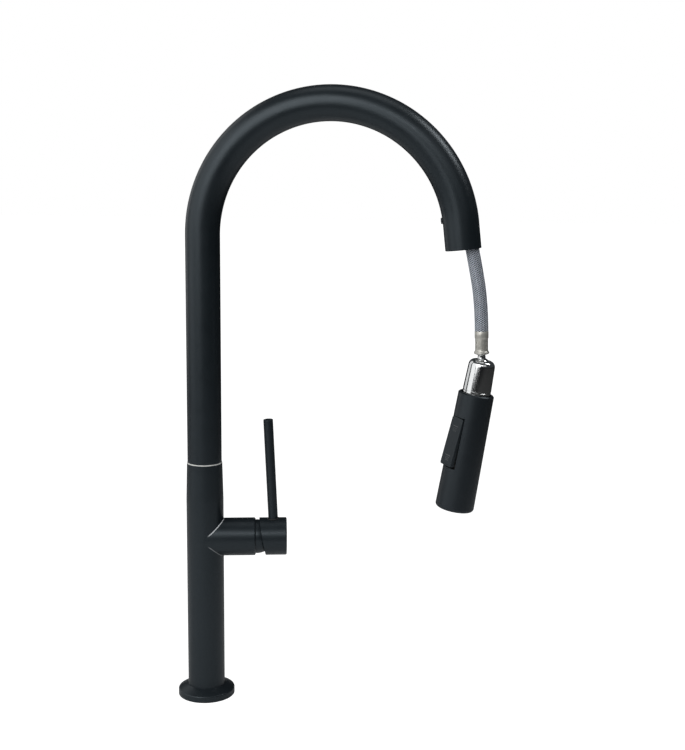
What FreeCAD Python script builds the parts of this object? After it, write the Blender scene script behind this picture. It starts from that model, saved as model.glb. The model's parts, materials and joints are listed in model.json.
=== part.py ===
import FreeCAD, Part
import Sketcher
import math
import os

# Pull-down kitchen faucet with a side joystick lever.
# Frame: origin at the centre of the flange's underside, on the post's axis; +Z up;
# +X points along the spout's arm. Millimetres and degrees.

doc = FreeCAD.newDocument("PullDownFaucet")
sheet = doc.addObject("Spreadsheet::Sheet", "Sizes")

DRIVING = {
    # clearances
    "running_gap": 0.06, "seat_gap": 0.02, "body_gap": 0.35, "face_gap": 0.1,
    # flange and gasket
    "flange_reach": 8.23, "flange_rim": 5.0, "flange_height": 8.8, "flange_edge": 1.2,
    "gasket_inset": 2.5, "gasket_width": 3.4, "gasket_depth": 1.6,
    # post and valve boss
    "post_radius": 15.27, "post_wall": 1.67, "post_height": 199.1, "post_taper": 30.0,
    "neck_step": 0.77, "boss_step": 0.4, "boss_wall": 2.4, "boss_reach": 41.7,
    "boss_chamfer": 0.9, "valve_height": 136.0, "valve_azimuth": 13.5,
    # foot plug, water tubes and ports
    "plug_height": 14.0, "port_radius": 3.5, "port_depth": 8.0, "tube_radius": 3.5,
    "tube_bore": 2.5, "inlet_forward": 3.6, "inlet_side": 8.4, "outlet_forward": 5.5,
    "stud_radius": 2.5, "stud_back": 3.5, "stud_side": 9.6, "stud_depth": 12.0,
    "passage_back": 6.8, "passage_gap": 0.5, "socket_depth": 6.0, "tube_seat": 1.2,
    # valve block and cartridge
    "block_height": 43.0, "seat_reach": 9.0, "cartridge_gap": 0.5, "cartridge_length": 24.0,
    "cartridge_neck": 8.0, "cartridge_end": 46.0, "spindle_radius": 6.3, "disc_wall": 2.5,
    "disc_step": 1.0,
    "disc_thickness": 2.4, "seal_minor": 0.5, "seal_major": 2.2, "seal_spread": 6.3,
    "cartridge_wall": 2.0, "nut_length": 3.6, "pivot_reach": 42.9, "pin_radius": 1.2,
    "stem_width": 5.0, "stem_end": 62.0, "stem_start": 36.0,
    # bonnet, cap and lever
    "bonnet_inset": 1.65, "bonnet_wall": 1.4, "bonnet_opening": 8.5, "bonnet_ledge": 1.0,
    "cap_inset": 0.1, "cap_bore_gap": 0.35, "cap_dome_gap": 0.65, "cap_end": 67.5,
    "cap_edge": 1.0, "skirt_top": 44.8, "skirt_bottom": 50.3,
    "lever_radius": 4.0, "lever_reach": 56.3,
    "lever_length": 84.6, "lever_lean": 2.8, "lever_edge": 0.5, "spigot_radius": 2.5,
    "spigot_length": 4.3, "sink_radius": 5.05, "sink_depth": 0.9, "grub_radius": 2.0,
    "grub_reach": 60.5,
    # spout swivel
    "collar_wall": 1.4, "core_wall": 5.0, "core_below": 18.0, "core_above": 28.0,
    "collar_height": 24.0, "washer_step": 0.3, "washer_height": 0.8, "ring_groove": 1.6,
    "ring_slack": 0.3, "clip_height": 1.5, "clip_bite": 1.0, "clip_slit": 2.0,
    # spout
    "spout_step": 0.5, "spout_wall": 1.0, "arch_radius": 103.4, "arch_height": 385.25,
    "mouth_lean": 6.5, "mouth_straight": 19.5,
    # dock bush and hose guide
    "bush_length": 27.0, "bush_wall": 1.0, "bush_flare": 0.6, "bush_funnel": 12.0,
    "bush_relief": 0.35, "screw_depth": 23.5, "screw_head": 2.5, "screw_rise": 1.0,
    "screw_shank": 1.4, "guide_length": 8.0, "guide_turn": 31.0,
    # hose and its end fitting
    "hose_radius": 5.4, "hose_entry": 20.1, "hose_slant": 20.0,
    "guide_out": 2.2, "guide_fall": 3.7, "wall_in": 6.55, "wall_rise": 44.3,
    "bore_out": 1.95, "bore_rise": 21.9, "mouth_out": 8.35, "mouth_fall": 6.1,
    "end_in": 0.8, "end_rise": 23.3,
    "ferrule_lean": -1.55, "ferrule_foot": 9.8, "ferrule_top": 27.7, "ferrule_bore": 2.9,
    "ferrule_collar": 5.95, "ferrule_body": 5.05, "ferrule_band": 5.4, "ferrule_rim": 1.4,
    "ferrule_slope": 1.2, "band_length": 5.3, "band_roll": 0.3, "tail_short": 3.0,
    "ball_radius": 7.0, "neck_radius": 3.1, "waterway": 2.0,
    # swivel cup; its height is counted from the ball's centre
    "ball_beyond": 16.36, "ball_hang": 90.58, "spray_lean": 9.3, "cup_radius": 11.15,
    "cup_upper": 10.45, "cup_top": 5.2, "cup_shoulder": 4.8, "cup_opening": 5.4, "cup_drop": 24.0,
    "cup_spigot": 9.9, "cup_end": 30.9, "collar_length": 4.6, "seat_top": 3.2,
    "seat_bottom": 12.0, "cup_bore": 7.8, "seat_throat": 4.2, "nut_height": 4.0,
    "groove_depth": 0.7, "spring_clip": 1.2, "spring_clip_out": 1.3,
    # spray head, counted down from the ball's centre
    "rim_drop": 21.7, "spray_length": 95.0, "rim_radius": 14.1, "face_radius": 15.5,
    "shell_wall": 1.4, "rim_bore": 12.1, "rim_chamfer": 0.9, "face_edge": 2.4, "face_depth": 4.0,
    "spin_gap": 0.1, "lip_width": 3.2, "lip_height": 2.6, "face_sink": 0.6,
    "core_body": 8.0, "core_top": 39.0, "core_flange": 4.0, "core_hollow": 4.9,
    "core_socket": 6.0, "neck_ring": 0.6, "neck_ring_drop": 2.5, "strainer_height": 2.0,
    "strainer_floor": 0.8, "valve_drop": 6.0, "valve_length": 10.0, "spool_drop": 10.0,
    "spool_length": 20.0, "spool_waist": 1.5, "waist_top": 6.0, "waist_foot": 14.0,
    "nozzle_circle": 11.2, "nozzle_radius": 0.75, "nozzle_height": 1.6,
    "aerator_radius": 7.6, "aerator_sink": 0.9, "aerator_rim": 1.2, "aerator_floor": 2.2,
    # rocker button
    "button_drop": 62.0, "button_azimuth": 220.0, "button_length": 39.4, "button_width": 14.0,
    "button_rise": 3.3, "button_proud": 0.65, "button_depth": 3.2, "button_gap": 0.6,
    "button_end_gap": 0.9, "lug_wall": 0.35, "lug_width": 10.0, "lug_half": 2.0,
    "rocker_pin": 0.7, "rocker_reach": 10.9, "tray_floor": 9.6, "tray_wall": 0.8,
    "rib_width": 1.4, "rib_half": 1.6, "rib_side": 6.1, "rib_seat": 0.2,
    "leaf_thickness": 0.3, "leaf_width": 6.0, "leaf_start": 0.3, "leaf_end": 0.8,
}


class Dim:
    """A size: its value now, and the sheet expression that keeps it live."""

    def __init__(self, value, text):
        self.value = float(value)
        self.text = text

    @staticmethod
    def of(item):
        return item if isinstance(item, Dim) else Dim(item, repr(float(item)))

    def join(self, other, sign, value):
        return Dim(value, f"({self.text} {sign} {Dim.of(other).text})")

    def __add__(self, other):
        return self.join(other, "+", self.value + Dim.of(other).value)

    def __sub__(self, other):
        return self.join(other, "-", self.value - Dim.of(other).value)

    def __mul__(self, other):
        return self.join(other, "*", self.value * Dim.of(other).value)

    def __truediv__(self, other):
        return self.join(other, "/", self.value / Dim.of(other).value)

    def __neg__(self):
        return Dim(-self.value, f"(0 - {self.text})")

    def __radd__(self, other):
        return Dim.of(other) + self

    def __rsub__(self, other):
        return Dim.of(other) - self

    def __rmul__(self, other):
        return Dim.of(other) * self


class Sizes:
    """Every driving size by its alias."""


S = Sizes()
for row, (alias, number) in enumerate(DRIVING.items(), start=1):
    sheet.set(f"A{row}", alias)
    sheet.set(f"B{row}", str(number))
    sheet.setAlias(f"B{row}", alias)
    setattr(S, alias, Dim(number, f"Sizes.{alias}"))
doc.recompute()

# Sizes that follow others, so that a fit stays a fit when one of them changes.
S.flange_radius = S.post_radius + S.flange_reach
S.gasket_radius = S.flange_radius - S.gasket_inset
S.post_bore = S.post_radius - S.post_wall
S.post_neck = S.post_radius - S.neck_step
S.boss_radius = S.post_radius + S.boss_step
S.boss_bore = S.boss_radius - S.boss_wall
S.cartridge_radius = S.boss_bore - S.cartridge_gap
S.disc_radius = S.cartridge_radius - S.disc_wall
S.bonnet_radius = S.boss_radius - S.bonnet_inset
S.cap_radius = S.boss_radius - S.cap_inset
S.cap_bore = S.bonnet_radius + S.cap_bore_gap
S.cap_dome = S.bonnet_radius + S.cap_dome_gap
S.spout_radius = S.post_neck - S.spout_step
S.washer_radius = S.spout_radius + S.washer_step
S.core_radius = S.spout_radius - S.spout_wall - S.collar_wall
S.core_bore = S.core_radius - S.core_wall
S.bush_bore = S.spout_radius - S.spout_wall - S.bush_wall
S.bush_mouth = S.bush_bore + S.bush_flare
S.passage_radius = S.hose_radius + S.passage_gap

nodes = {}
X_AXIS = FreeCAD.Vector(1, 0, 0)
Y_AXIS = FreeCAD.Vector(0, 1, 0)
Z_AXIS = FreeCAD.Vector(0, 0, 1)


def value(item):
    return Dim.of(item).value


def bind(item, **sizes):
    for name, size in sizes.items():
        item.setExpression(name, Dim.of(size).text)


def at(item, across=0, side=0, up=0):
    """Put a primitive at a point whose coordinates stay bound to the sheet."""
    for axis, size in (("x", across), ("y", side), ("z", up)):
        item.setExpression(f"Placement.Base.{axis}", Dim.of(size).text)
    return item


def rod(radius, bottom, top, across=0, side=0):
    item = doc.addObject("Part::Cylinder", "Rod")
    bind(item, Radius=radius, Height=Dim.of(top) - bottom)
    return at(item, across, side, bottom)


def cross_rod(radius, start, end, direction, across=0, side=0, up=0):
    """A cylinder along local X or Y, from start to end on that axis."""
    item = doc.addObject("Part::Cylinder", "CrossRod")
    bind(item, Radius=radius, Height=Dim.of(end) - start)
    if direction == "x":
        item.Placement.Rotation = FreeCAD.Rotation(Z_AXIS, X_AXIS)
        return at(item, start, side, up)
    item.Placement.Rotation = FreeCAD.Rotation(Z_AXIS, Y_AXIS)
    return at(item, across, start, up)


def cone(lower, upper, bottom, top):
    item = doc.addObject("Part::Cone", "Cone")
    bind(item, Radius1=lower, Radius2=upper, Height=Dim.of(top) - bottom)
    return at(item, 0, 0, bottom)


def ball(radius, up=0):
    item = doc.addObject("Part::Sphere", "Ball")
    bind(item, Radius=radius)
    return at(item, 0, 0, up)


def ring(major, minor, up=0, across=0, side=0):
    item = doc.addObject("Part::Torus", "Ring")
    bind(item, Radius1=major, Radius2=minor)
    return at(item, across, side, up)


def block(length, width, bottom, top, across=0, side=0):
    """A box centred on (across, side)."""
    item = doc.addObject("Part::Box", "Block")
    bind(item, Length=length, Width=width, Height=Dim.of(top) - bottom)
    return at(item, Dim.of(across) - Dim.of(length) / 2, Dim.of(side) - Dim.of(width) / 2, bottom)


def fuse(*items):
    joined = doc.addObject("Part::MultiFuse", "Joined")
    joined.Shapes = list(items)
    return joined


def cut(base, *tools):
    result = doc.addObject("Part::Cut", "Trimmed")
    result.Base = base
    result.Tool = tools[0] if len(tools) == 1 else fuse(*tools)
    return result


def common(first, second):
    result = doc.addObject("Part::Common", "Shared")
    result.Base = first
    result.Tool = second
    return result


def group(*items):
    """Separate solids kept as one node."""
    result = doc.addObject("Part::Compound", "Group")
    result.Links = list(items)
    return result


def moved(item, placement):
    """A sheet-bound item carried to a place inside another piece's frame."""
    carried = group(item)
    carried.Placement = placement
    return carried


def node(label, item, placement=FreeCAD.Placement()):
    """Name a finished piece and put it in place."""
    item.Label = label
    item.Placement = placement
    nodes[label] = item
    return item


def origin_plane(body, role):
    return next(item for item in body.Origin.OriginFeatures if item.Role == role)


def sketch_on(body, role):
    sketch = body.newObject("Sketcher::SketchObject", "Sketch")
    sketch.AttachmentSupport = (origin_plane(body, role), [""])
    sketch.MapMode = "FlatFace"
    return sketch


def hold(sketch, edge, end, kind, size):
    """Hold one coordinate of a sketch point at a sheet-bound size."""
    if value(size) == 0:
        axis = -2 if kind == "DistanceX" else -1
        sketch.addConstraint(Sketcher.Constraint("PointOnObject", edge, end, axis))
        return
    index = sketch.addConstraint(Sketcher.Constraint(kind, -1, 1, edge, end, value(size)))
    sketch.setExpression(f"Constraints[{index}]", Dim.of(size).text)


def pin_point(sketch, edge, end, across, up):
    hold(sketch, edge, end, "DistanceX", across)
    hold(sketch, edge, end, "DistanceY", up)


def outline(body, points, role="XZ_Plane"):
    """A closed sketch of straight edges through (across, up) pairs."""
    sketch = sketch_on(body, role)
    spots = [FreeCAD.Vector(value(across), value(up), 0) for across, up in points]
    count = len(points)
    for index in range(count):
        sketch.addGeometry(Part.LineSegment(spots[index], spots[(index + 1) % count]))
    for index in range(count):
        sketch.addConstraint(Sketcher.Constraint("Coincident", index, 2, (index + 1) % count, 1))
        pin_point(sketch, index, 1, *points[index])
    return sketch


def turned(points, rounds=(), chamfers=()):
    """A body revolved about its Z axis; rounds and chamfers list (size, radius, height)."""
    body = doc.addObject("PartDesign::Body", "Turned")
    sketch = outline(body, points)
    feature = body.newObject("PartDesign::Revolution", "Revolution")
    feature.Profile = sketch
    feature.ReferenceAxis = (sketch, ["V_Axis"])
    feature.Angle = 360
    body.Tip = feature
    doc.recompute()
    for kind, size_name, edges in (("Fillet", "Radius", rounds), ("Chamfer", "Size", chamfers)):
        for size, radius, height in edges:
            names = circles_at(body.Tip.Shape, value(radius), value(height))
            dressing = body.newObject(f"PartDesign::{kind}", kind)
            dressing.Base = (feature, names)
            dressing.setExpression(size_name, Dim.of(size).text)
            body.Tip = dressing
            feature = dressing
            doc.recompute()
    return body


def slab(points, width):
    """A closed outline on the XZ plane, padded equally to both sides."""
    body = doc.addObject("PartDesign::Body", "Slab")
    pad = body.newObject("PartDesign::Pad", "Pad")
    pad.Profile = outline(body, points)
    pad.Midplane = True
    pad.setExpression("Length", Dim.of(width).text)
    body.Tip = pad
    return body


def circles_at(shape, radius, height):
    """Names of the circular edges with this radius at this height."""
    found = []
    for number, edge in enumerate(shape.Edges, start=1):
        curve = edge.Curve
        if not isinstance(curve, Part.Circle):
            continue
        if abs(curve.Radius - radius) < 1e-4 and abs(curve.Center.z - height) < 1e-4:
            found.append(f"Edge{number}")
    return found


# ---------------------------------------------------------------- stations
def radians(size):
    return math.radians(value(size))


BODY = FreeCAD.Placement(FreeCAD.Vector(), FreeCAD.Rotation(Z_AXIS, S.valve_azimuth.value))
# The valve's station: local Z runs out along the boss, local X points up.
VALVE = FreeCAD.Placement(
    FreeCAD.Vector(0, 0, S.valve_height.value),
    FreeCAD.Rotation(Z_AXIS, S.valve_azimuth.value)
    * FreeCAD.Rotation(FreeCAD.Vector(1, 0, 1), 180),
)
# The mouth's station: origin at the outlet's centre, local Z up into the spout.
mouth_centre = FreeCAD.Vector(
    S.arch_radius.value * (1 + math.cos(radians(S.mouth_lean)))
    + S.mouth_straight.value * math.sin(radians(S.mouth_lean)),
    0,
    S.arch_height.value
    + S.arch_radius.value * math.sin(radians(S.mouth_lean))
    - S.mouth_straight.value * math.cos(radians(S.mouth_lean)),
)
MOUTH = FreeCAD.Placement(mouth_centre, FreeCAD.Rotation(Y_AXIS, -S.mouth_lean.value))
ball_centre = mouth_centre + FreeCAD.Vector(S.ball_beyond.value, 0, -S.ball_hang.value)
FERRULE = FreeCAD.Placement(ball_centre, FreeCAD.Rotation(Y_AXIS, S.ferrule_lean.value))
SPRAY = FreeCAD.Placement(ball_centre, FreeCAD.Rotation(Y_AXIS, S.spray_lean.value))
# The button's station: on the spray's axis, local X out through the button's face.
BUTTON = SPRAY * FreeCAD.Placement(
    FreeCAD.Vector(0, 0, -S.button_drop.value),
    FreeCAD.Rotation(Z_AXIS, S.button_azimuth.value),
)

# ---------------------------------------------------------------- flange and foot
flange_bore = S.post_radius + S.running_gap
recess = S.gasket_radius + S.seat_gap
recess_top = S.gasket_depth + S.seat_gap
node("base_flange", turned(
    [(recess, 0), (S.flange_radius, 0), (S.flange_radius, S.flange_rim),
     (flange_bore, S.flange_height), (flange_bore, recess_top), (recess, recess_top)],
    rounds=[(S.flange_edge, S.flange_radius, S.flange_rim)],
))
gasket_bore = S.gasket_radius - S.gasket_width
node("flange_gasket", cut(rod(S.gasket_radius, 0, S.gasket_depth),
                          rod(gasket_bore, -1, S.gasket_depth + 1)))

plug_radius = S.post_bore - S.seat_gap


def port_rods(radius, bottom, top):
    """One vertical rod for each of the two inlets and the outlet."""
    return [
        rod(radius, bottom, top, S.inlet_forward, S.inlet_side),
        rod(radius, bottom, top, S.inlet_forward, -S.inlet_side),
        rod(radius, bottom, top, S.outlet_forward),
    ]


def passage(bottom, top):
    return rod(S.passage_radius, bottom, top, -S.passage_back)


tube_foot = S.port_depth + S.tube_seat
tube_head = S.valve_height - S.block_height / 2 + S.socket_depth
studs = [rod(S.stud_radius, -1, S.stud_depth, -S.stud_back, side)
         for side in (S.stud_side, -S.stud_side)]
node("base_plug", cut(
    rod(plug_radius, 0, S.plug_height),
    passage(-1, S.plug_height + 1),
    *studs,
    *port_rods(S.port_radius, -1, S.port_depth),
    *port_rods(S.tube_bore, S.port_depth - 1, S.plug_height),
    *port_rods(S.tube_radius + S.seat_gap, tube_foot, S.plug_height + 1),
), BODY)

for name, forward, side in (
    ("hot_inlet_tube", S.inlet_forward, S.inlet_side),
    ("cold_inlet_tube", S.inlet_forward, -S.inlet_side),
    ("outlet_tube", S.outlet_forward, Dim.of(0)),
):
    node(name, cut(
        rod(S.tube_radius, tube_foot + S.seat_gap, tube_head - S.seat_gap, forward, side),
        rod(S.tube_bore, tube_foot - 1, tube_head + 1, forward, side),
    ), BODY)

# ---------------------------------------------------------------- post with its valve boss
post_outer = turned(
    [(0, 0), (S.post_radius, 0), (S.post_radius, S.post_height - S.post_taper),
     (S.post_neck, S.post_height), (0, S.post_height)],
)
boss_edge = S.boss_reach - S.boss_chamfer
node("body_tube", cut(
    fuse(post_outer, cross_rod(S.boss_radius, 0, boss_edge, "x", up=S.valve_height),
         moved(cone(S.boss_radius, S.boss_radius - S.boss_chamfer, boss_edge, S.boss_reach),
               BODY.inverse() * VALVE)),
    rod(S.post_bore, -1, S.post_height + 1),
    cross_rod(S.boss_bore, 0, S.boss_reach + 1, "x", up=S.valve_height),
), BODY)

# ---------------------------------------------------------------- valve block and cartridge
block_bottom = S.valve_height - S.block_height / 2
block_top = S.valve_height + S.block_height / 2
pocket = S.cartridge_radius + S.seat_gap
node("valve_block", cut(
    rod(S.post_bore - S.seat_gap, block_bottom, block_top),
    passage(block_bottom - 1, block_top + 1),
    cross_rod(pocket, S.seat_reach, S.boss_reach, "x", up=S.valve_height),
    *port_rods(S.tube_radius + S.seat_gap, block_bottom - 1, tube_head),
    *port_rods(S.waterway, tube_head - 1, S.valve_height),
), BODY)

seat = S.seat_reach + S.seal_minor * 2
seal_turns = (0, 120, 240)


def seal_spots():
    for turn in seal_turns:
        yield (S.seal_spread * math.cos(math.radians(turn)),
               S.seal_spread * math.sin(math.radians(turn)))


node("cartridge_seals", group(*[
    ring(S.seal_major, S.seal_minor - S.seat_gap, S.seat_reach + S.seal_minor, up, side)
    for up, side in seal_spots()
]), VALVE)

shoulder = seat + S.cartridge_length
disc_seat = seat + S.cartridge_wall
disc_bore = S.disc_radius + S.running_gap
neck_bore = S.spindle_radius + S.running_gap
chamber_top = shoulder - S.cartridge_wall
node("cartridge_body", cut(
    fuse(rod(S.cartridge_radius, seat, shoulder),
         rod(S.cartridge_neck, shoulder - 1, S.cartridge_end)),
    rod(disc_bore, disc_seat, chamber_top),
    rod(neck_bore, chamber_top - 1, S.cartridge_end + 1),
    *[rod(S.seal_major - S.seal_minor, seat - 1, disc_seat + 1, up, side)
      for up, side in seal_spots()],
), VALVE)

fixed_top = disc_seat + S.disc_thickness
node("fixed_disc", cut(
    rod(S.disc_radius, disc_seat + S.seat_gap, fixed_top),
    *[rod(S.seal_major - S.seal_minor, disc_seat - 1, fixed_top + 1, up, side)
      for up, side in seal_spots()],
), VALVE)
moving_bottom = fixed_top + S.face_gap
moving_top = moving_bottom + S.disc_thickness
node("moving_disc", cut(
    rod(S.disc_radius - S.disc_step, moving_bottom, moving_top),
    rod(S.seal_spread, moving_bottom - 1, moving_bottom + S.disc_thickness / 2),
), VALVE)

slot = S.stem_width + 2 * S.running_gap
pin_bore = S.pin_radius + S.running_gap
slot_foot = S.stem_start - 2 * S.body_gap
node("spindle_carrier", cut(
    fuse(rod(S.spindle_radius, moving_top + S.seat_gap, S.cartridge_end),
         rod(S.disc_radius - S.disc_step, moving_top + S.seat_gap, chamber_top - S.body_gap)),
    block(S.spindle_radius * 4, slot, slot_foot, S.cartridge_end + 1),
    cross_rod(S.pin_radius + S.seat_gap, -S.spindle_radius * 2, S.spindle_radius * 2, "y",
              up=S.pivot_reach),
), VALVE)
pin_half = S.spindle_radius - S.body_gap
node("stem_pin", group(cross_rod(S.pin_radius, -pin_half, pin_half, "y", up=S.pivot_reach)), VALVE)

nut_bottom = shoulder + S.seat_gap
nut_top = nut_bottom + S.nut_length
node("cartridge_nut", cut(
    rod(S.boss_bore - S.seat_gap, nut_bottom, nut_top),
    rod(S.cartridge_neck + S.running_gap, nut_bottom - 1, nut_top + 1),
), VALVE)

# The bonnet is a ball zone centred on the stem's pivot, so the cap tilts round it.
dome_inner = S.bonnet_radius - S.bonnet_wall
bonnet_foot = nut_top + S.seat_gap
node("bonnet_dome", cut(
    fuse(common(ball(S.bonnet_radius, S.pivot_reach),
                rod(S.bonnet_radius * 2, S.boss_reach + S.seat_gap, S.cap_end)),
         rod(S.boss_bore - S.seat_gap, bonnet_foot, S.pivot_reach)),
    common(ball(dome_inner, S.pivot_reach), rod(dome_inner, S.pivot_reach, S.cap_end)),
    rod(dome_inner - S.bonnet_ledge, bonnet_foot - 1, S.pivot_reach + 1),
    rod(S.bonnet_opening, S.pivot_reach, S.cap_end),
), VALVE)

# ---------------------------------------------------------------- lever and cap
node("cartridge_stem", cut(
    block(S.stem_width, S.stem_width, S.stem_start, S.stem_end),
    cross_rod(pin_bore, -S.stem_width, S.stem_width, "y", up=S.pivot_reach),
), VALVE)

# The skirt's edge is cut on a slope, nearer the post on top where the cap tilts away.
skirt_middle = (S.skirt_top + S.skirt_bottom) / 2
skirt_rise = S.skirt_bottom - S.skirt_top
wide = S.cap_radius * 2
slope_knife = slab(
    [(-wide, 0), (wide, 0), (wide, skirt_middle - skirt_rise), (-wide, skirt_middle + skirt_rise)],
    wide * 2,
)
cap_outer = turned(
    [(0, S.boss_reach), (S.cap_radius, S.boss_reach), (S.cap_radius, S.cap_end), (0, S.cap_end)],
    rounds=[(S.cap_edge, S.cap_radius, S.cap_end)],
)
lever_seat = S.cap_radius - S.sink_depth
LEVER = FreeCAD.Placement(
    FreeCAD.Vector(lever_seat.value, 0, S.lever_reach.value),
    FreeCAD.Rotation(Y_AXIS, 90 + S.lever_lean.value),
)
stem_socket = S.stem_width + 2 * S.seat_gap
node("handle_cap", cut(
    cap_outer,
    slope_knife,
    ball(S.cap_dome, S.pivot_reach),
    rod(S.cap_bore, 0, S.pivot_reach),
    block(stem_socket, stem_socket, S.pivot_reach, S.stem_end + S.seat_gap),
    cross_rod(S.grub_radius + S.seat_gap, -S.cap_radius - 1, 0, "x", up=S.grub_reach),
    moved(rod(S.sink_radius, 0, S.sink_depth * 3), LEVER),
    moved(rod(S.spigot_radius + S.seat_gap, -S.spigot_length - S.seat_gap, 1), LEVER),
), VALVE)
node("lever_rod", turned(
    [(0, -S.spigot_length), (S.spigot_radius, -S.spigot_length), (S.spigot_radius, S.seat_gap),
     (S.lever_radius, S.seat_gap), (S.lever_radius, S.lever_length), (0, S.lever_length)],
    rounds=[(S.lever_edge, S.lever_radius, S.lever_length)],
), VALVE * LEVER)
lever_ring = (S.sink_radius - S.lever_radius) / 2 - S.seat_gap
node("lever_o_ring", group(
    ring((S.sink_radius + S.lever_radius) / 2, lever_ring, lever_ring + S.seat_gap)
), VALVE * LEVER)
grub_tip = S.stem_width / 2 + 2 * S.seat_gap
node("grub_screw", group(
    cross_rod(S.grub_radius, -S.cap_radius + 1, -grub_tip, "x", up=S.grub_reach)
), VALVE)

# ---------------------------------------------------------------- spout swivel
tube_inner = S.spout_radius - S.spout_wall
spout_foot = S.post_height + S.washer_height + S.face_gap
collar_top = spout_foot + S.collar_height
ring_minor = (S.ring_groove / 2) - S.ring_slack
ring_major = S.core_radius - ring_minor + S.running_gap / 2
groove_floor = ring_major - ring_minor - S.seat_gap
ring_heights = [spout_foot + S.collar_height * share for share in (0.25, 0.75)]
clip_foot = collar_top + S.face_gap
clip_inner = S.core_radius - S.clip_bite


def groove(floor, bottom, top):
    """A ring-shaped cutter outside the given floor radius."""
    return cut(rod(S.spout_radius, bottom, top), rod(floor, bottom - 1, top + 1))


node("swivel_core", cut(
    fuse(rod(S.post_bore - S.seat_gap, S.post_height - S.core_below, S.post_height),
         rod(S.core_radius, S.post_height - 1, S.post_height + S.core_above)),
    rod(S.core_bore, 0, S.post_height + S.core_above + 1),
    *[groove(groove_floor, height - ring_minor - S.seat_gap, height + ring_minor + S.seat_gap)
      for height in ring_heights],
    groove(clip_inner - S.seat_gap, clip_foot - S.seat_gap, clip_foot + S.clip_height + S.seat_gap),
))
node("swivel_o_rings", group(*[ring(ring_major, ring_minor, height) for height in ring_heights]))
node("swivel_washer", cut(
    rod(S.washer_radius, S.post_height + S.seat_gap, S.post_height + S.washer_height),
    rod(S.core_radius + S.seat_gap, S.post_height - 1, spout_foot),
))
node("swivel_clip", cut(
    rod(tube_inner - S.body_gap, clip_foot, clip_foot + S.clip_height),
    rod(clip_inner, clip_foot - 1, clip_foot + S.clip_height + 1),
    block(tube_inner * 2, S.clip_slit, clip_foot - 1, clip_foot + S.clip_height + 1, tube_inner),
))
node("spout_collar", cut(
    rod(tube_inner - S.seat_gap, spout_foot, collar_top),
    rod(S.core_radius + S.running_gap, spout_foot - 1, collar_top + 1),
))


# ---------------------------------------------------------------- gooseneck
def arch_path(body, foot, end_turn, straight=None):
    """Up the post's axis, over the arch to end_turn above its level, then straight on."""
    sketch = sketch_on(body, "XZ_Plane")
    radius, height = S.arch_radius, S.arch_height
    centre = FreeCAD.Vector(radius.value, height.value, 0)
    turn = radians(end_turn)
    ends = [
        centre + FreeCAD.Vector(math.cos(turn), math.sin(turn), 0) * radius.value,
        FreeCAD.Vector(0, value(foot), 0),
        FreeCAD.Vector(0, height.value, 0),
    ]
    sketch.addGeometry(Part.LineSegment(ends[1], ends[2]))
    sketch.addGeometry(Part.ArcOfCircle(Part.Circle(centre, Z_AXIS, radius.value), turn, math.pi))
    pin_point(sketch, 0, 1, Dim.of(0), foot)
    pin_point(sketch, 0, 2, Dim.of(0), height)
    sketch.addConstraint(Sketcher.Constraint("Coincident", 0, 2, 1, 2))
    pin_point(sketch, 1, 3, radius, height)
    end = Dim.of(end_turn)
    across = Dim(ends[0].x, f"({radius.text} * (1 + cos({end.text} * 1deg)))")
    up = Dim(ends[0].y, f"({height.text} + {radius.text} * sin({end.text} * 1deg))")
    hold(sketch, 1, 1, "DistanceY", up)
    if straight is not None:
        tip = ends[0] + FreeCAD.Vector(math.sin(turn), -math.cos(turn), 0) * straight.value
        sketch.addGeometry(Part.LineSegment(ends[0], tip))
        sketch.addConstraint(Sketcher.Constraint("Coincident", 1, 1, 2, 1))
        tip_across = Dim(tip.x, f"({across.text} + {straight.text} * sin({end.text} * 1deg))")
        tip_up = Dim(tip.y, f"({up.text} - {straight.text} * cos({end.text} * 1deg))")
        pin_point(sketch, 2, 2, tip_across, tip_up)
    return sketch


def circle_sketch(body, radius, height):
    sketch = sketch_on(body, "XY_Plane")
    sketch.setExpression("AttachmentOffset.Base.z", Dim.of(height).text)
    sketch.addGeometry(Part.Circle(FreeCAD.Vector(), Z_AXIS, value(radius)))
    sketch.addConstraint(Sketcher.Constraint("Coincident", 0, 3, -1, 1))
    index = sketch.addConstraint(Sketcher.Constraint("Radius", 0, value(radius)))
    sketch.setExpression(f"Constraints[{index}]", Dim.of(radius).text)
    return sketch


def piped(radius, foot, end_turn, straight=None):
    """A round bar swept along the arch's path."""
    body = doc.addObject("PartDesign::Body", "Piped")
    path = arch_path(body, foot, end_turn, straight)
    profile = circle_sketch(body, radius, foot)
    doc.recompute()
    pipe = body.newObject("PartDesign::AdditivePipe", "Pipe")
    pipe.Profile = profile
    pipe.Spine = (path, [])
    body.Tip = pipe
    return body


screw_hole = moved(
    cross_rod(S.screw_shank + S.seat_gap, -S.spout_radius * 2, 0, "x", up=S.screw_depth), MOUTH)
node("spout_tube", cut(
    piped(S.spout_radius, spout_foot, S.mouth_lean, S.mouth_straight),
    piped(tube_inner, spout_foot, S.mouth_lean, S.mouth_straight),
    screw_hole,
))

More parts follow.
